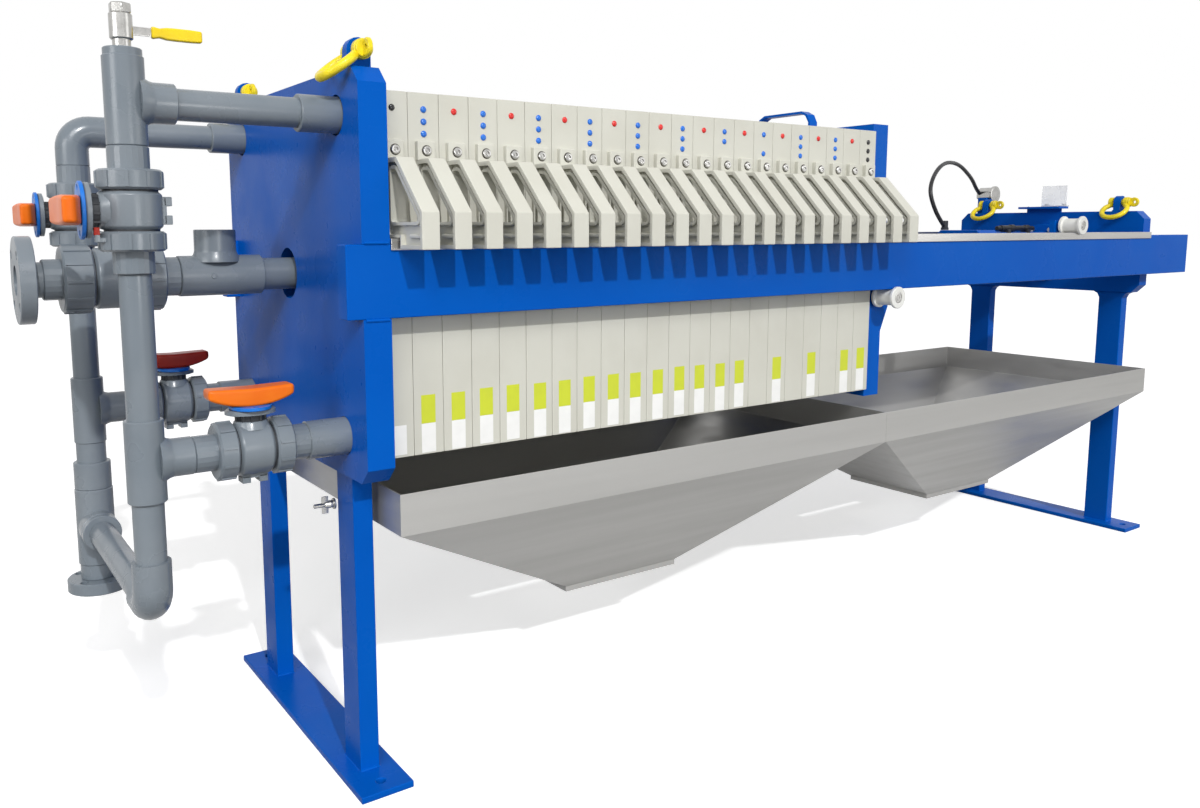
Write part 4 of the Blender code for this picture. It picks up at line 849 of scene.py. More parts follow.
def stickers(zone, plates, name, material):
    made = []
    for index in plates:
        x = PLATE_MIDDLE + (index - 1) * PLATE_PITCH + 0.001 * math.sin(index * 2.3)
        lift = 0.0015 * math.sin(index * 1.7)
        low = (x - STICKER_WIDTH / 2, -PLATE_HALF - STICKER_THICK, zone[0] + lift)
        high = (x + STICKER_WIDTH / 2, -PLATE_HALF + STICKER_THICK, zone[1] + lift)
        made.append(block(low, high, material, 0.0001, 1))
    done(made, name, "frame", "polypropylene")


stickers(YELLOW_STICKER, STICKER_PLATES[1:], "yellow_stickers", label_yellow)
stickers(WHITE_STICKER, STICKER_PLATES, "white_stickers", label_white)
print("studs:", {kind: len(found) for kind, found in spots.items()}, "screws:", len(screw_spots))

# %% [markdown]
# The pipework is glued plastic: plain pipe pushed into sockets that are a few millimetres larger.
# Each run is one disc extruded along its line, wider at every fitting, with a small chamfer on
# each shoulder, as moulded fittings have. The tees flare where the branch leaves the body.

# %% Pipe sizes
HEAD_BACK_X = -0.028
SEAT_X = 0.0218
PORT_Y = 0.265
PORT_HIGH = 1.1895
PORT_LOW = 0.6425
RISER_X = -0.356
PIPE_OD = 0.0483
TEE_OD = 0.059
TEE_LENGTH = 0.131
TEE_BRANCH = 0.070
HUB_OD = 0.061
VALVE_HALF = 0.095
PIPE_GAP = 0.0003
VALVE_Z = PORT_HIGH - TEE_LENGTH / 2 - PIPE_GAP - VALVE_HALF
DRAIN_X = RISER_X + TEE_BRANCH + PIPE_GAP + VALVE_HALF
CROSS_Z = 0.4055
CHAMFER = 0.0014
ROOT_FLARE = 0.012
PUSHED_IN = 0.004
BEND_RADIUS, BEND_OD, BEND_STEPS = 0.034, 0.060, 9


def eased(rows):
    """Adds a small chamfer to each shoulder of a stepped run of (length, diameter) rows."""
    made = []
    for index, (length, size) in enumerate(rows):
        before = rows[index - 1][1] if index else 0
        after = rows[index + 1][1] if index + 1 < len(rows) else 0
        small = size - 2 * CHAMFER
        start = CHAMFER if before < size else 0
        end = CHAMFER if after < size else 0
        if start:
            made.append((start, small, size))
        made.append((length - start - end, size))
        if end:
            made.append((end, size, small))
    return made


def pipe(axis, start, rows, centre, sign=1, sides=48, material=None):
    return turned_piece(axis, start, eased(rows), centre, material or pipe_plastic, sides, sign)


def branch(axis, centre, body_od, reach, size, sign=1):
    """A tee's side branch: its root flares into the body, then it runs straight."""
    start = Vector(centre).dot(AXIS_VECTOR[axis]) + sign * (body_od / 2 - ROOT_FLARE)
    straight = reach - body_od / 2 - CHAMFER
    rows = [(ROOT_FLARE * 0.8, size + ROOT_FLARE * 1.1, size + ROOT_FLARE * 0.8),
            (ROOT_FLARE * 0.5, size + ROOT_FLARE * 0.8, size + ROOT_FLARE * 0.25),
            (ROOT_FLARE * 0.5, size + ROOT_FLARE * 0.25, size), (straight - ROOT_FLARE * 0.8, size),
            (CHAMFER, size, size - 2 * CHAMFER)]
    return turned_piece(axis, start, rows, centre, pipe_plastic, 40, sign)


def elbow(start, corner, end, into, leave):
    """A bent pipe from start to end; it nears the corner along into and goes on along leave."""
    into, leave = Vector(into), Vector(leave)
    middle = Vector(corner) + (leave - into) * BEND_RADIUS
    turns = [math.pi / 2 * step / BEND_STEPS for step in range(BEND_STEPS + 1)]
    bend = [middle + (into * math.sin(turn) - leave * math.cos(turn)) * BEND_RADIUS for turn in turns]
    return bent_rod([start, *bend, end], BEND_OD, pipe_plastic, 40)


print("middles: riser valves z", round(VALVE_Z, 4), "drain valves x", round(DRAIN_X, 4))

# %% [markdown]
# At the top, the operator's side has a tee that points at the head plate and carries the air
# valve on its upper mouth. The far side turns in a plain bend. Both end in a wider coupling.

# %% Upper runs
COUPLING_X = HEAD_BACK_X - 0.067
BRANCH_END_X = RISER_X + TEE_BRANCH
run_start = VALVE_Z + VALVE_HALF + PIPE_GAP


def across(side):
    rows = [(COUPLING_X - BRANCH_END_X + PUSHED_IN, PIPE_OD), (SEAT_X - COUPLING_X, HUB_OD)]
    return pipe("X", BRANCH_END_X - PUSHED_IN, rows, (0, side * PORT_Y, PORT_HIGH))


near_tee = pipe("Z", run_start, [(TEE_LENGTH, TEE_OD), (0.011, 0.055)], (RISER_X, -PORT_Y, 0))
near_arm = branch("X", (RISER_X, -PORT_Y, PORT_HIGH), TEE_OD, TEE_BRANCH, HUB_OD)
done([near_tee, near_arm, across(-1)], "near_upper_pipe", "frame", "grey_pvc", "near_upper_run")
far_bend = elbow((RISER_X, PORT_Y, run_start), (RISER_X, PORT_Y, PORT_HIGH),
                 (BRANCH_END_X, PORT_Y, PORT_HIGH), (0, 0, 1), (1, 0, 0))
done([far_bend, across(1)], "far_upper_pipe", "frame", "grey_pvc", "far_upper_run")
print("upper runs from x", RISER_X, "to", SEAT_X)

# %% [markdown]
# Below the riser valves each run drops through a tee that feeds a drain valve. The near one turns
# under the head and crosses over; the far one takes it in and ends in a drilled flange, where the
# filtrate leaves. The flange's holes are cut through it with Booleans, as a drill would.

# %% Lower runs and the outlet flange
ELBOW_TOP = CROSS_Z + 0.075
ELBOW_SIDE = 0.062
FLANGE_LOW, FLANGE_THICK, FLANGE_OD = 0.273, 0.024, 0.118
HOLE_CIRCLE, HOLE_SIZE, OUTLET_BORE = 0.092, 0.016, 0.040
SOCKET_REACH = 0.155 / 2
HUB_ROWS = [(0.0575 - 0.018, 0.071), (0.004, 0.0685), (0.014, 0.071)]
lower_top = VALVE_Z - VALVE_HALF - PIPE_GAP
tee_top = PORT_LOW + TEE_LENGTH / 2


def lower_parts(side, rows):
    """The run down from a riser valve: pipe, the tee with its arm, then the rows below it."""
    rows = [(lower_top - tee_top, PIPE_OD), (TEE_LENGTH, TEE_OD)] + rows
    return [pipe("Z", lower_top, rows, (RISER_X, side * PORT_Y, 0), -1),
            branch("X", (RISER_X, side * PORT_Y, PORT_LOW), TEE_OD, TEE_BRANCH, HUB_OD)]


def drilled(flange, axis, low, thick, centre, circle, bore):
    """Cuts four bolt holes and the bore through a flange."""
    u, v = [AXIS_VECTOR[other] for other in "XYZ" if other != axis]
    cuts = []
    for step in range(4):
        angle = math.pi / 4 + math.pi / 2 * step
        spot = Vector(centre) + (u * math.cos(angle) + v * math.sin(angle)) * circle / 2
        cuts.append((spot, HOLE_SIZE, 20))
    for spot, size, sides in cuts + [(centre, bore, 32)]:
        tool = turned_piece(axis, low - CUT_PAST, [(thick + 2 * CUT_PAST, size)], spot, pipe_plastic, sides)
        boolean(flange, tool, "DIFFERENCE")
    return smooth(recalculated(flange), 35.0)


near_turn = elbow((RISER_X, -PORT_Y, ELBOW_TOP), (RISER_X, -PORT_Y, CROSS_Z),
                  (RISER_X, -PORT_Y + ELBOW_SIDE, CROSS_Z), (0, 0, -1), (0, 1, 0))
cross_start = -PORT_Y + ELBOW_SIDE - PUSHED_IN
near_cross = pipe("Y", cross_start, [(PORT_Y - SOCKET_REACH - PIPE_GAP - cross_start, PIPE_OD)],
                  (RISER_X, 0, CROSS_Z))
near_parts = lower_parts(-1, [(tee_top - TEE_LENGTH - ELBOW_TOP + PUSHED_IN, PIPE_OD)])
done([*near_parts, near_turn, near_cross], "near_lower_pipe", "frame", "grey_pvc", "near_lower_run")

# Below the far tee: a reducer, a coupling in two halves with a seam, the side outlet and a stub.
far_parts = lower_parts(1, [(0.040, 0.055), (0.054, 0.069), (0.0006, 0.0675), (0.1544, 0.071),
                            (0.031, 0.066)])
far_hub = pipe("Y", PORT_Y - 0.02, HUB_ROWS, (RISER_X, 0, CROSS_Z), -1)
outlet_spot = (RISER_X, PORT_Y, 0)
outlet_flange = pipe("Z", FLANGE_LOW, [(FLANGE_THICK, FLANGE_OD)], outlet_spot, 1, 64)
drilled(outlet_flange, "Z", FLANGE_LOW, FLANGE_THICK, outlet_spot, HOLE_CIRCLE, OUTLET_BORE)
done([*far_parts, far_hub, outlet_flange], "far_lower_pipe", "frame", "grey_pvc", "far_lower_run")
print("the outlet flange's face is at z", FLANGE_LOW)

# %% [markdown]
# The slurry comes in through the middle of the head plate. Its pipe has a tee behind the plate,
# and the tee's upper mouth is shut by a plug, which is opened to flush the line.

# %% Feed run with its plugged tee
FEED_OD = 0.0603
FEED_TEE_OD = 0.074
FEED_TEE_START = -0.233
FEED_TEE_END = -0.083
FEED_BRANCH_X = -0.164
FEED_BRANCH_REACH = 0.084
feed_rows = [(FEED_TEE_END - FEED_TEE_START, FEED_TEE_OD), (SEAT_X - FEED_TEE_END, FEED_OD)]
done([pipe("X", FEED_TEE_START, feed_rows, ON_AXIS),
      branch("Z", (FEED_BRANCH_X, 0, AXIS_Z), FEED_TEE_OD, FEED_BRANCH_REACH, FEED_TEE_OD),
      turned_piece("Z", AXIS_Z + FEED_BRANCH_REACH - 0.001, [(0.0008, 0.062), (-0.004, 0.052)],
                   (FEED_BRANCH_X, 0, 0), dark_plastic, 32),
      turned_piece("Y", -FEED_TEE_OD / 2 + 0.0005, [(0.0022, 0.010, 0.008)],
                   (FEED_TEE_START + 0.055, 0, AXIS_Z), pipe_plastic, 16, -1)],
     "feed_pipe", "frame", "grey_pvc", "feed_run")
print("the feed run leaves the tee at x", FEED_TEE_START)

# %% [markdown]
# A union ball valve has a barrel between two ribbed nuts, so that it can be lifted out of the
# line. The nut is a many-sided disc with one side in six pushed out, which gives the narrow ribs
# that a hand or a strap wrench holds. One valve is modelled upright and copied, and the larger
# feed valve comes from the same function.

# %% Union ball valves
NUT_SIDES = 6
NUT_RIB = 0.0019


def ribbed_nut(start, length, size, groups):
    """A union nut along Z: broad lands with a narrow raised rib between each two."""
    sides = groups * NUT_SIDES
    land = size - 2 * NUT_RIB
    made = turned_piece("Z", start, [(0.0030, land - 0.008, land), (length - 0.0060, land),
                                     (0.0030, land, land - 0.008)], (0, 0, 0), pipe_plastic, sides)
    step = 2 * math.pi / sides

    def on_rib(middle, normal):
        turned = int((math.atan2(middle.y, middle.x) % (2 * math.pi)) / step)
        return abs(normal.z) < 0.2 and turned % NUT_SIDES == 0

    print("rib faces:", pick_faces(made, on_rib))
    bpy.ops.mesh.inset(thickness=0.0004)
    bpy.ops.mesh.extrude_region_shrink_fatten(TRANSFORM_OT_shrink_fatten={"value": NUT_RIB})
    leave_edit()
    return smooth(made, 22.0)


def ribbed_socket(start, length, size, sign):
    """A valve's end socket: the many narrow flats catch the light as fine lines."""
    made = pipe("Z", start, [(length, size)], (0, 0, 0), sign, 22)
    return smooth(made, 8.0)


def union_valve(socket, nut, barrel, socket_od, nut_od, barrel_od, nut_groups):
    """A valve along Z, centred on the origin, made of socket, nut, barrel, nut and socket."""
    half = socket + nut + barrel / 2
    parts = []
    for side in (-1, 1):
        parts.append(ribbed_socket(side * half, socket + 0.004, socket_od, -side))
        low = barrel / 2 if side > 0 else -barrel / 2 - nut
        parts.append(ribbed_nut(low, nut, nut_od, nut_groups))
    waist = barrel_od - 0.010
    end = (0.004, 0.0035, 0.0025)
    parts.append(turned_piece("Z", -barrel / 2 + end[0] - 0.001, [
        (end[1], waist, barrel_od - 0.002), (end[2], barrel_od - 0.002, barrel_od),
        (barrel - 2 * sum(end) + 0.002, barrel_od),
        (end[2], barrel_od, barrel_od - 0.002), (end[1], barrel_od - 0.002, waist)],
        (0, 0, 0), pipe_plastic, 64))
    core = [(barrel + 0.008, waist)]
    parts.append(turned_piece("Z", -barrel / 2 - 0.004, core, (0, 0, 0), dark_plastic, 48))
    return parts


STEM_RISE = 0.066
COLLAR_STRETCH = 1.24


def riser_sized_valve():
    """The valve with its stem towards -X and its mounting feet behind."""
    parts = union_valve(0.034, 0.030, 0.062, 0.060, 0.099, 0.089, 10)
    parts.append(turned_piece("X", -0.034, [(0.011, 0.062, 0.054), (0.002, 0.054, 0.050)], (0, 0, 0),
                              pipe_plastic, 36, -1))
    parts.append(turned_piece("X", -0.044, [(0.018, 0.047)], (0, 0, 0), dark_plastic, 32, -1))
    for step in range(10):
        angle = math.pi / 5 * step + 0.2
        spot = Vector((0, math.cos(angle), math.sin(angle))) * 0.0232
        low, high = Vector((-0.0605, -0.0022, -0.0022)), Vector((-0.046, 0.0022, 0.0022))
        parts.append(block(low + spot, high + spot, dark_plastic, 0.0007, 1))
    collar = turned_piece("X", -STEM_RISE, [(0.0015, 0.062, 0.066), (0.0060, 0.066), (0.0015, 0.066, 0.058)],
                          (0, 0, 0), pipe_plastic, 48)
    parts.append(reshaped(collar, lambda x, y, z: (x, y, z * COLLAR_STRETCH)))
    back = 0.0445
    parts.append(block((back - 0.012, -0.013, -0.021), (back + 0.004, 0.013, 0.021), pipe_plastic, 0.0015))
    for side in (-1, 1):
        z = side * 0.014
        parts.append(block((back, -0.013, z - 0.007), (back + 0.012, 0.013, z + 0.007),
                           pipe_plastic, 0.0012))
        parts.append(turned_piece("X", back + 0.012, [(0.0015, 0.007), (-0.003, 0.004)], (0, 0, z),
                                  dark_plastic, 12))
    return joined(parts, "valve_model")


# The red catch under the near riser valve's stem, and the post and foot that it clips to.
LOCK_BLOCKS = (
    ((-0.0570, -0.024, -0.037), (-0.0490, -0.016, -0.025), red_handle, 0.0012),
    ((-0.0560, -0.025, -0.047), (-0.0490, -0.017, -0.036), pipe_plastic, 0.0010),
    ((-0.0500, -0.023, -0.047), (-0.0360, -0.018, -0.040), pipe_plastic, 0.0010),
)


def turned_level(piece, place):
    """Turns an upright model about Y, so that its pipe lies along X and its stem points up."""
    return reshaped(piece, lambda x, y, z: (z + place[0], y + place[1], -x + place[2]))


valve_model = riser_sized_valve()
for side, word in ((-1, "near"), (1, "far")):
    y = side * PORT_Y
    place = (RISER_X, y, VALVE_Z)
    riser = [shifted(copied(valve_model), place)]
    if side < 0:
        riser += [shifted(block(*sizes), place) for sizes in LOCK_BLOCKS]
    done(riser, f"{word}_riser_valve_body", "frame", "grey_pvc", f"{word}_riser_valve")
    drain = turned_level(copied(valve_model), (DRAIN_X, y, PORT_LOW))
    bush_start = DRAIN_X + VALVE_HALF - PUSHED_IN
    bushing = pipe("X", bush_start, [(SEAT_X - bush_start, 0.066)], (0, y, PORT_LOW))
    done([drain, bushing], f"{word}_drain_valve_body", "frame", "grey_pvc", f"{word}_drain_valve")
bpy.data.objects.remove(valve_model, do_unlink=True)

FEED_HALF = 0.110
FEED_VALVE_X = -0.2333 - FEED_HALF
FEED_FLANGE_THICK, FEED_FLANGE_OD, FEED_CIRCLE, FEED_BORE = 0.025, 0.148, 0.120, 0.052
feed_model = joined(union_valve(0.028, 0.048, 0.068, 0.070, 0.120, 0.106, 12), "feed_valve_model")
turned_level(feed_model, (FEED_VALVE_X, 0, AXIS_Z))
feed_start = FEED_VALVE_X - FEED_HALF
feed_neck = pipe("X", feed_start + 0.003, [(0.017, FEED_OD)], ON_AXIS, -1)
feed_flange = pipe("X", feed_start - 0.014, [(FEED_FLANGE_THICK, FEED_FLANGE_OD)], ON_AXIS, -1, 64)
drilled(feed_flange, "X", feed_start - 0.014 - FEED_FLANGE_THICK, FEED_FLANGE_THICK, ON_AXIS, FEED_CIRCLE,
        FEED_BORE)
done([feed_model, feed_neck, feed_flange], "feed_valve_body", "frame", "grey_pvc", "feed_valve")

# %% [markdown]
# A valve's handle is a winged bar on a coloured ring. The bar's underside bulges down to the ring
# and its wing tips stay thin. It is a box cut into slices along its length, whose lower edge
# follows a curve, then rounded by a bevel. The oval ring has a hole at each end for a padlock.

# %% Valve handles
HANDLE_HALF = 0.070
DISC_THICK = 0.006
HANDLE_TOP = 0.037
HANDLE_WING = 0.0165
HANDLE_WIDE = 0.044
RING_STRETCH = 1.30
RING_HOLE = 0.0095
RING_HOLE_OUT = 0.0335
pivots = {joint["child"]: Vector(joint["pos_m"]) for joint in frame["joints"] if joint.get("pos_m")}


def winged(x, y, z):
    """Where a corner of the sliced box goes: the underside bulges, the ends narrow."""
    share = abs(y) / HANDLE_HALF
    if x > -HANDLE_TOP + 0.001:
        bulge = 1.0 - share ** 2.2
        x = -(HANDLE_TOP - HANDLE_WING - (HANDLE_TOP - HANDLE_WING - DISC_THICK + 0.001) * bulge)
    else:
        x += 0.0022 * (1.0 - share)
    return x, y, z * (1.0 - 0.15 * share * share)


def handle_model(material):
    """A handle whose pivot is the origin, facing -X, with its bar along Y."""
    bar = block((-HANDLE_TOP, -HANDLE_HALF, -HANDLE_WIDE / 2), (-DISC_THICK, HANDLE_HALF, HANDLE_WIDE / 2),
                material)
    cuts = [-HANDLE_HALF + 2 * HANDLE_HALF * step / 20 for step in range(1, 20)]
    sliced(bar, [((0, place, 0), (0, 1, 0)) for place in cuts])
    rounded(reshaped(bar, winged), 0.0052, 3, 50.0)
    ring = turned_piece("X", -0.0002, [(0.0010, 0.064, 0.066), (0.0040, 0.066), (0.0010, 0.066, 0.064)],
                        (0, 0, 0), blue_disc, 56, -1)
    reshaped(ring, lambda x, y, z: (x, y, z * RING_STRETCH))
    for side in (-1, 1):
        spot = (0, 0, side * RING_HOLE_OUT)
        hole = turned_piece("X", CUT_PAST, [(0.015, RING_HOLE)], spot, blue_disc, 20, -1)
        boolean(ring, hole, "DIFFERENCE")
    return joined([bar, smooth(ring, 35.0)], "handle_model")


orange_model = handle_model(orange_handle)
red_model = handle_model(red_handle)
for side, word in ((-1, "near"), (1, "far")):
    riser = shifted(copied(orange_model), pivots[f"{word}_riser_handle"])
    done(riser, f"{word}_riser_grip_bar", f"{word}_riser_handle", "orange_plastic", f"{word}_riser_handle")
    model = orange_model if side < 0 else red_model
    drain = recalculated(reshaped(copied(model), lambda x, y, z: (y, z, -x)))
    shifted(smooth(drain, 40.0), pivots[f"{word}_drain_handle"])
    done(drain, f"{word}_drain_grip_bar", f"{word}_drain_handle",
         "orange_plastic" if side < 0 else "red_plastic", f"{word}_drain_handle")
for model in (orange_model, red_model):
    bpy.data.objects.remove(model, do_unlink=True)
print("handles at:", [name for name in pivots if name.endswith("handle")])

# %% [markdown]
# The lifting shackles are forged: a round bar bent into a bow, with an eye pressed flat at each
# end, and a screw pin whose spade is flattened and holed so that wire can lock it. The bar is a
# curve turned to a mesh. Powder coat is worn through at the rubbing places, which the colour
# patches of its finish show.

# %% Bow shackles
BOW_BAR = 0.0155
BOW_THROAT = 0.030
BOW_INSIDE = 0.058
BOW_LENGTH = 0.085
BOW_EYE = 0.033
PIN_SIZE = 0.019
HEAD_LEAN = math.radians(127.1)
TAIL_LEAN = math.radians(129.5)
SHACKLES = (
    ("near_head_shackle", HEAD_LEAN), ("far_head_shackle", HEAD_LEAN),
    ("near_tail_shackle", TAIL_LEAN), ("far_tail_shackle", TAIL_LEAN),
)


def shackle(lean):
    """A shackle with its pin at the origin along Y and its bow leaning about the pin."""
    down = Vector((-math.sin(lean), 0.0, math.cos(lean)))
    reach = BOW_THROAT / 2 + BOW_BAR / 2
    wide = BOW_INSIDE / 2 + BOW_BAR / 2
    middle = BOW_LENGTH - BOW_BAR / 2 - wide
    flat = [(-reach, 0.0), (-reach, BOW_EYE * 0.42)]
    for step in range(21):
        angle = math.radians(205.0 - 230.0 * step / 20)
        flat.append((wide * math.cos(angle), middle + wide * math.sin(angle)))
    flat += [(reach, BOW_EYE * 0.42), (reach, 0.0)]
    route = smooth_route([(0, a, 0) for a, b in flat], 2)
    depths = smooth_route([(b, 0, 0) for a, b in flat], 2)
    route = [spot + down * depth.x for spot, depth in zip(route, depths)]
    parts = [bent_rod(route, BOW_BAR, shackle_yellow, 20)]
    eye = [(0.002, BOW_EYE - 0.005, BOW_EYE), (BOW_BAR - 0.004, BOW_EYE),
           (0.002, BOW_EYE, BOW_EYE - 0.005)]
    for side in (-1, 1):
        start = side * reach - BOW_BAR / 2
        parts.append(turned_piece("Y", start, eye, (0, 0, 0), shackle_yellow, 32))
    edge = reach + BOW_BAR / 2
    parts.append(turned_piece("Y", -edge, [(edge * 2, PIN_SIZE), (0.001, PIN_SIZE, PIN_SIZE - 0.003)],
                              (0, 0, 0), shackle_yellow, 24))
    parts.append(turned_piece("Y", -edge + 0.0004, [(0.004, 0.030), (0.0014, 0.030, 0.027)], (0, 0, 0),
                              shackle_yellow, 28, -1))
    spade_y = -edge - 0.015
    spade = turned_piece("X", -0.004, [(0.0015, 0.026, 0.030), (0.005, 0.030), (0.0015, 0.030, 0.026)],
                         (0, spade_y, 0), shackle_yellow, 28)
    hole = turned_piece("X", -0.008, [(0.016, 0.0095)], (0, spade_y - 0.002, 0), shackle_yellow, 16)
    boolean(spade, hole, "DIFFERENCE")
    parts.append(smooth(spade, 35.0))
    return joined(parts, "shackle_model")


for node, lean in SHACKLES:
    made = shifted(shackle(lean), pivots[node])
    done(made, node + "_forged", node, "yellow_paint", node)
print("shackles hang at:", [tuple(round(v, 3) for v in pivots[node]) for node, lean in SHACKLES])

# %% [markdown]
# Four nylon spools carry the follower. Two straddle the rails on top and two run under the
# beams. They are turned on a lathe, so a stepped disc with small chamfers is the natural model,
# with a steel bearing and a socket screw let into the outer face.

# %% Spool rollers
SPOOL_INNER = 0.313
SPOOL_CORE = 0.321
SPOOL_RIM = 0.3663
SPOOL_OUTER = 0.3743
SPOOL_HUB = 0.0170


def spool(side):
    rim, core = 0.053, 0.040
    rows = [
        (SPOOL_HUB, 0.018), (0.0012, rim - 0.003, rim), (0.0056, rim), (0.0012, rim, rim - 0.002),
        (0.0020, core + 0.003, core), (SPOOL_RIM - SPOOL_CORE - 0.0040, core), (0.0020, core, core + 0.003),
        (0.0012, rim - 0.002, rim), (0.0056, rim), (0.0012, rim, rim - 0.003),
        (-0.0008, 0.030, 0.0285),
    ]
    nylon = turned_piece("Y", side * (SPOOL_INNER - SPOOL_HUB), rows, (0, 0, 0), white_nylon, 48, side)
    face = side * (SPOOL_OUTER - 0.0010)
    race_rows = [(0.0008, 0.0265), (0.0003, 0.0255, 0.0235), (-0.0005, 0.0215)]
    race = turned_piece("Y", face, race_rows, (0, 0, 0), zinc_plate, 36, side)
    screw = turned_piece("Y", face, [(0.0014, 0.0150, 0.0142), (-0.0020, 0.0070)], (0, 0, 0), zinc_plate, 24,
                         side)
    # The screw's hex socket is a thin dark disc on its face: painted shade where the socket's hollow would
    # be.
    socket = turned_piece("Y", face - side * 0.0004, [(0.0002, 0.0068)], (0, 0, 0), socket_shadow, 6, side)
    return joined([nylon, race, screw, socket], "spool_model")


for side, word in ((-1, "near"), (1, "far")):
    for place in ("front", "rear"):
        node = f"{word}_{place}_roller"
        pivot = pivots[node]
        done(shifted(spool(side), (pivot.x, 0, pivot.z)), node + "_turned", node, "white_nylon", node)
print("rollers are", round(SPOOL_OUTER - SPOOL_INNER, 4), "m wide")

# %% [markdown]
# A chromed rod pushes the follower from a painted cylinder. The rod's flange is bolted to the
# follower, and the cylinder has a square front block with the hose port, a honed barrel and a
# bolted rear flange. The chrome's gloss is what tells a hydraulic rod from a plain bar.

# %% Rod and cylinder
FOLLOWER_BACK = 1.3756
BLOCK_START = 2.1497
BLOCK_END = 2.2497
TAIL_FRONT = 2.6595
ROD_END = 2.1995
ROD_SIZE = 0.070
BLOCK_HALF, BLOCK_CORNER = 0.076, 0.0085
TIE_OUT = 0.058


def round_the_axis(count, radius, first):
    """Spots evenly spaced round the press axis, the first one turned by an angle."""
    turns = [2 * math.pi / count * step + first for step in range(count)]
    return [(0, radius * math.cos(turn), AXIS_Z + radius * math.sin(turn)) for turn in turns]


rod_rows = [(0.0015, 0.127, 0.130), (0.0170, 0.130), (0.0015, 0.130, 0.127), (0.002, 0.078, 0.074),
            (0.002, 0.074, ROD_SIZE), (ROD_END - FOLLOWER_BACK - 0.024, ROD_SIZE)]
chrome = turned_piece("X", FOLLOWER_BACK, rod_rows, ON_AXIS, chrome_rod, 64)
socket_rows = [(0.0070, 0.0145), (0.001, 0.0145, 0.0125), (-0.004, 0.0078)]
flange_bolts = [turned_piece("X", FOLLOWER_BACK + 0.0198, socket_rows, spot, dark_plastic, 20)
                for spot in round_the_axis(6, 0.050, math.pi / 6)]
done([chrome] + flange_bolts, "chromed_rod", "follower", "chrome_steel", "piston_rod")

front_block = block((BLOCK_START, -BLOCK_HALF, AXIS_Z - BLOCK_HALF),
                    (BLOCK_END, BLOCK_HALF, AXIS_Z + BLOCK_HALF), blue_enamel)
corners = []
for turn in range(4):
    angle = math.pi / 4 + math.pi / 2 * turn
    lean_out = Vector((0, math.cos(angle), math.sin(angle)))
    corners.append((Vector(ON_AXIS) + lean_out * (BLOCK_HALF * math.sqrt(2) - BLOCK_CORNER), lean_out))
sliced(front_block, corners, clear_outer=True, use_fill=True)
rounded(recalculated(front_block), 0.0018)
barrel_rows = [(TAIL_FRONT - 0.0223 - BLOCK_END + 0.010, 0.140), (0.0015, 0.187, 0.190), (0.0190, 0.190),
               (0.0015, 0.190, 0.187)]
barrel = turned_piece("X", BLOCK_END - 0.010, barrel_rows, ON_AXIS, blue_enamel, 64)
tunnel = turned_piece("X", BLOCK_START - CUT_PAST, [(TAIL_FRONT - BLOCK_START - 0.02, 0.078)], ON_AXIS,
                      blue_enamel, 40)
boolean(barrel, copied(tunnel), "DIFFERENCE")
boolean(front_block, tunnel, "DIFFERENCE")
wiper = turned_piece("X", BLOCK_START - 0.0003, [(-0.003, 0.084), (0.0015, 0.084, 0.080)], ON_AXIS,
                     dark_plastic, 48)
boolean(wiper, turned_piece("X", BLOCK_START - 0.01, [(0.03, ROD_SIZE + 0.0015)], ON_AXIS, dark_plastic, 48),
        "DIFFERENCE")
heads = []
tie_rows = [(0.009, 0.018), (0.001, 0.018, 0.016), (-0.005, 0.010)]
for y in (-TIE_OUT, TIE_OUT):
    for z in (AXIS_Z - TIE_OUT, AXIS_Z + TIE_OUT):
        heads.append(turned_piece("X", BLOCK_START + 0.0002, tie_rows, (0, y, z), dark_plastic, 20, -1))
heads += [hex_piece("X", TAIL_FRONT - 0.0222, 0.009, 0.015, spot, zinc_plate, -1)
          for spot in round_the_axis(8, 0.082, math.pi / 8)]
turned = [smooth(cut, 35.0) for cut in (front_block, barrel, wiper)]
done(turned + heads, "cylinder_dressed", "frame", "blue_paint", "hydraulic_cylinder")

# The black hose end that lies on the barrel, and the plain band round it.
LINE_Z = AXIS_Z + 0.0815
line_rows = [(0.020, 0.015), (0.003, 0.021), (0.050, 0.019), (0.002, 0.021), (0.022, 0.024), (0.002, 0.021),
             (0.060, 0.017), (0.003, 0.020), (0.024, 0.022), (0.030, 0.014)]
line_fitting = turned_piece("X", 2.345, eased(line_rows), (0, -0.012, LINE_Z), black_rubber, 20)
clips = [block((x, -0.026, AXIS_Z + 0.066), (x + 0.016, 0.002, LINE_Z - 0.004), dark_plastic, 0.002)
         for x in (2.392, 2.508)]
done([line_fitting] + clips, "black_line_fitting", "frame", "black_rubber")
print("rod and cylinder end at x", round(TAIL_FRONT, 4))

# %% [markdown]
# The small air valve on top of the near riser is stainless. Its lever is one strip of sheet with
# a dipped yellow sleeve on the end, and it turns a quarter about its stem.

# %% Air valve and its lever
AIR_BASE = PORT_HIGH + TEE_LENGTH / 2 + 0.011 + PIPE_GAP
AIR_Z = AIR_BASE + 0.012 + 0.019
LEVER_Y = -PORT_Y + 0.033 / 2 + 0.0055
LEVER_END = RISER_X + 0.122
AIR_HEX = 0.0495
SLEEVE_START = LEVER_END - 0.075
SLEEVE_HALF = (0.0055, 0.0095)
air_spot = (RISER_X, -PORT_Y, 0)
air_rows = [(0.0015, 0.023, 0.026), (0.0105, 0.026), (0.002, 0.029, 0.033), (0.034, 0.033),
            (0.002, 0.033, 0.029)]
air_body = turned_piece("Z", AIR_BASE, air_rows, air_spot, zinc_plate, 40)
air_top = hex_piece("Z", AIR_BASE + AIR_HEX, 0.0145, 0.028, air_spot, zinc_plate)
air_mouth = turned_piece("Z", AIR_BASE + AIR_HEX + 0.0065, [(0.02, 0.0165)], air_spot, zinc_plate, 24)
boolean(air_top, air_mouth, "DIFFERENCE")
stem_spot = (RISER_X, 0, AIR_Z)
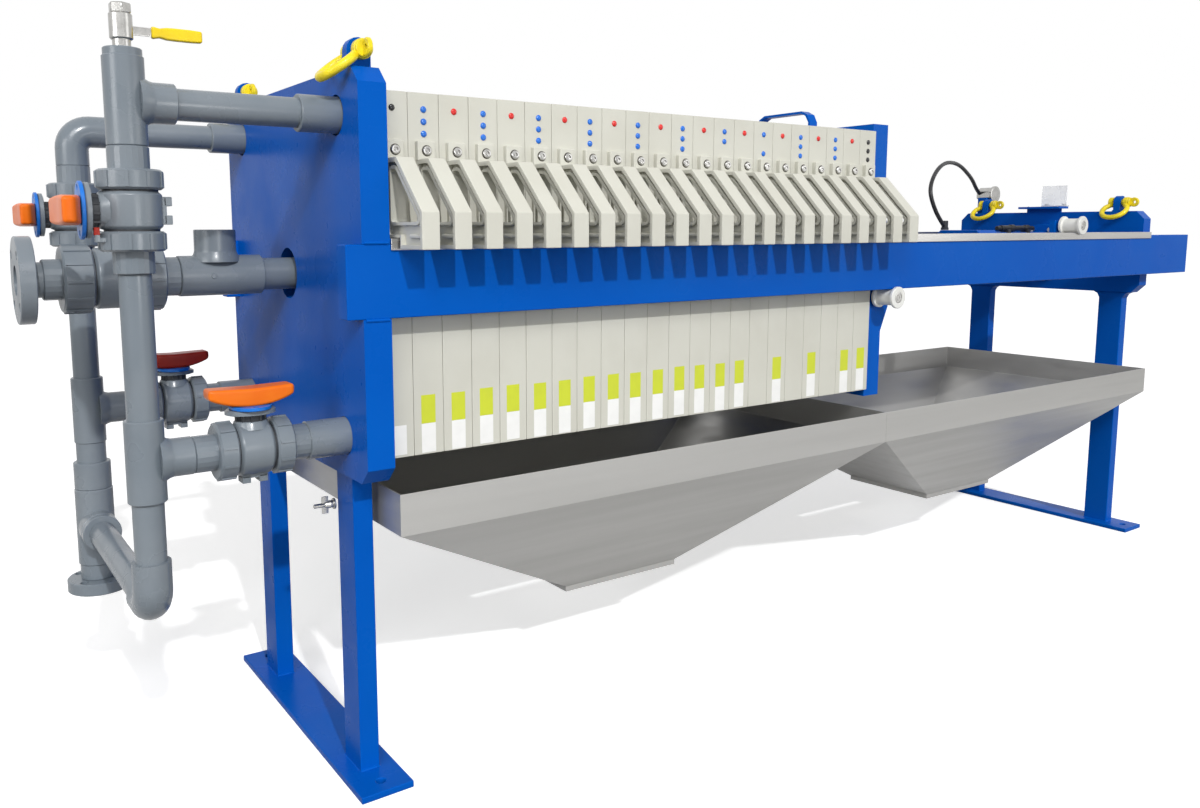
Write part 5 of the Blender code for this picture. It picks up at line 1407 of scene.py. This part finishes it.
air_stem = turned_piece("Y", -PORT_Y, [(LEVER_Y + PORT_Y - 0.0003, 0.010)], stem_spot, zinc_plate, 20)
done([air_body, smooth(air_top, 35.0), air_stem], "air_valve_dressed", "frame", "stainless", "air_valve")

lever_y = LEVER_Y + 0.0003
sleeve_y = lever_y + 0.0015
strip = block((RISER_X - 0.0065, lever_y, AIR_Z - 0.0065),
              (LEVER_END - 0.004, lever_y + 0.003, AIR_Z + 0.0065), zinc_plate, 0.0008, 2)
hub_rows = [(0.0030, 0.0172), (0.0035, 0.0110), (0.0007, 0.0110, 0.0098)]
lever_hub = turned_piece("Y", lever_y, hub_rows, stem_spot, zinc_plate, 20)
sleeve = block((SLEEVE_START, sleeve_y - SLEEVE_HALF[0], AIR_Z - SLEEVE_HALF[1]),
               (LEVER_END, sleeve_y + SLEEVE_HALF[0], AIR_Z + SLEEVE_HALF[1]), sleeve_yellow)


def pinched(x, y, z):
    """The sleeve is narrower behind its mouth and tapers at its end."""
    share = (x - SLEEVE_START) / (LEVER_END - SLEEVE_START)
    pinch = 1.0 - 0.26 * math.exp(-((share - 0.16) / 0.10) ** 2) - 0.10 * max(0.0, share - 0.8) / 0.2
    return x, y, AIR_Z + (z - AIR_Z) * pinch


sliced(sleeve, [((SLEEVE_START + place, 0, 0), (1, 0, 0))
                for place in (0.004, 0.012, 0.022, 0.034, 0.046, 0.058, 0.068)])
rounded(reshaped(sleeve, pinched), 0.0030, 3, 50.0)
done([sleeve, strip, lever_hub], "lever_and_sleeve", "air_lever", "yellow_sleeve", "air_lever")
print("the lever is", round(LEVER_END - RISER_X, 3), "m long from its stem")

# %% [markdown]
# Small things finish a welded machine: beads along the lugs, the beams' ends and the legs, and a
# clamp bolt with its wing nut. A bead is a thin rod with small waves along it, because each
# puddle of weld leaves one.

# %% Weld beads and the clamp bolt
BEAD = 0.0062
BEAD_WAVE = 0.16
HEAD_LUG = ((HEAD_BACK_X + FIRST_PLATE_X) / 2, 0.302, 1.2632)
TAIL_LUG = (2.6822, 0.232, 1.0532)
LUG_HALF, LUG_SIDE = 0.020, 0.0105
BEAM_BEAD_Y, BEAM_BEADS_Z = 0.3605, (0.8500, 0.9775)
LEG_BEADS_Y, LEG_BEAD_Z = (0.195, 0.269), 0.0135


def weld(first_x, last_x, y, z):
    """A bead along X: a thin rod with ripples, each a puddle of weld."""
    start, end = Vector((first_x, y, z)), Vector((last_x, y, z))
    count = max(int((end - start).length / (BEAD * 0.55)), 3)
    made = bent_rod([start.lerp(end, step / count) for step in range(count + 1)], BEAD, blue_enamel, 12)
    for vertex in made.data.vertices:
        travelled = vertex.co.x - start.x
        centre = Vector((start.x + travelled, y, z))
        swell = 1.0 + BEAD_WAVE * math.sin(travelled / BEAD * 5.7)
        vertex.co = centre + (vertex.co - centre) * swell
    return made


beads = []
for side in (-1, 1):
    for x, y, z in (HEAD_LUG, TAIL_LUG):
        beads += [weld(x - LUG_HALF, x + LUG_HALF, side * y + aside, z) for aside in (-LUG_SIDE, LUG_SIDE)]
    beads += [weld(HEAD_BACK_X + 0.004, FIRST_PLATE_X - 0.004, side * BEAM_BEAD_Y, z) for z in BEAM_BEADS_Z]
    beads += [weld(-0.019, 0.013, side * y, LEG_BEAD_Z) for y in LEG_BEADS_Y]
done(beads, "weld_beads", "frame", "blue_paint")

CLAMP_X, CLAMP_Y, CLAMP_Z = -0.028, -0.205, 0.506
WING_X, WING_LONG, WING_HIGH, WING_HALF = CLAMP_X - 0.012, 0.0126, 0.016, 0.0015
clamp_spot = (0, CLAMP_Y, CLAMP_Z)
clamp_rows = [(0.003, 0.020), (0.006, 0.0135), (0.030, 0.008)]
clamp = [turned_piece("X", CLAMP_X, clamp_rows, clamp_spot, zinc_plate, 20, -1),
         turned_piece("X", CLAMP_X - 0.009, [(0.010, 0.0145, 0.011)], clamp_spot, zinc_plate, 20, -1)]
for low in (CLAMP_Z - WING_HIGH, CLAMP_Z):
    clamp.append(block((WING_X - WING_LONG, CLAMP_Y - WING_HALF, low),
                       (WING_X, CLAMP_Y + WING_HALF, low + WING_HIGH), zinc_plate, 0.0012))
done(clamp, "clamp_bolt", "frame", "stainless")
print("weld beads:", len(beads))

# %% [markdown]
# A bent offcut of clear plastic sheet is bolted on the tail bracket. Scuffs are what the eye sees
# of it, so the mottle group drives both its colour and its roughness.

# %% The clear guard on the tail bracket
SHELF_TOP = 1.052 + 0.012 + 0.007
GUARD_X, GUARD_THICK, GUARD_HIGH = 2.6700, 0.0045, 0.071
GUARD_FOOT, FOOT_THICK = 0.0220, 0.004
GUARD_SIDES = (-0.062, 0.025)
GUARD_BOLT_X = 2.6835

clear_sheet = bpy.data.materials.new("clear_sheet")
clear_sheet.use_nodes = True
clear_tree = clear_sheet.node_tree
scuffs = add_node(clear_tree, "Group", {"node_tree": mottle}, Main_Colour=(0.94, 0.95, 0.96, 1),
                  Patch_Colour=(0.84, 0.86, 0.88, 1), Patch_Size=14.0,
                  Place=add_node(clear_tree, "TexCoord").outputs["Object"])
for label, value in (("IOR", 1.46), ("Transmission Weight", 0.45), ("Alpha", 0.55),
                     ("Base Color", scuffs.outputs["Colour"]), ("Roughness", scuffs.outputs["Patches"])):
    feed(clear_tree, clear_tree.nodes["Principled BSDF"].inputs[label], value)

guard = [block((GUARD_X, GUARD_SIDES[0], SHELF_TOP), (GUARD_X + deep, GUARD_SIDES[1], SHELF_TOP + high),
               clear_sheet, 0.0012) for deep, high in ((GUARD_THICK, GUARD_HIGH), (GUARD_FOOT, FOOT_THICK))]
done(guard, "clear_guard", "frame", "polypropylene")
guard_bolts = []
for y in (-0.048, 0.012):
    spot = (GUARD_BOLT_X, y, 0)
    guard_bolts.append(hex_piece("Z", SHELF_TOP + FOOT_THICK, 0.0065, 0.013, spot, zinc_plate))
    guard_bolts.append(turned_piece("Z", SHELF_TOP + FOOT_THICK, [(0.0012, 0.017)], spot, zinc_plate, 20))
for y in (-0.030, 0.055):
    guard_bolts.append(turned_piece("X", TAIL_FRONT - 0.0145, [(0.004, 0.010), (0.001, 0.010, 0.008)],
                                    (0, y, SHELF_TOP - 0.0035), zinc_plate, 16, -1))
done(guard_bolts, "guard_bolts", "frame", "stainless")
print("guard bolts:", len(guard_bolts))

# %% [markdown]
# Last, the solids' own box is printed.

# %% Sizes and finish
print("solids' box:", cad_box)
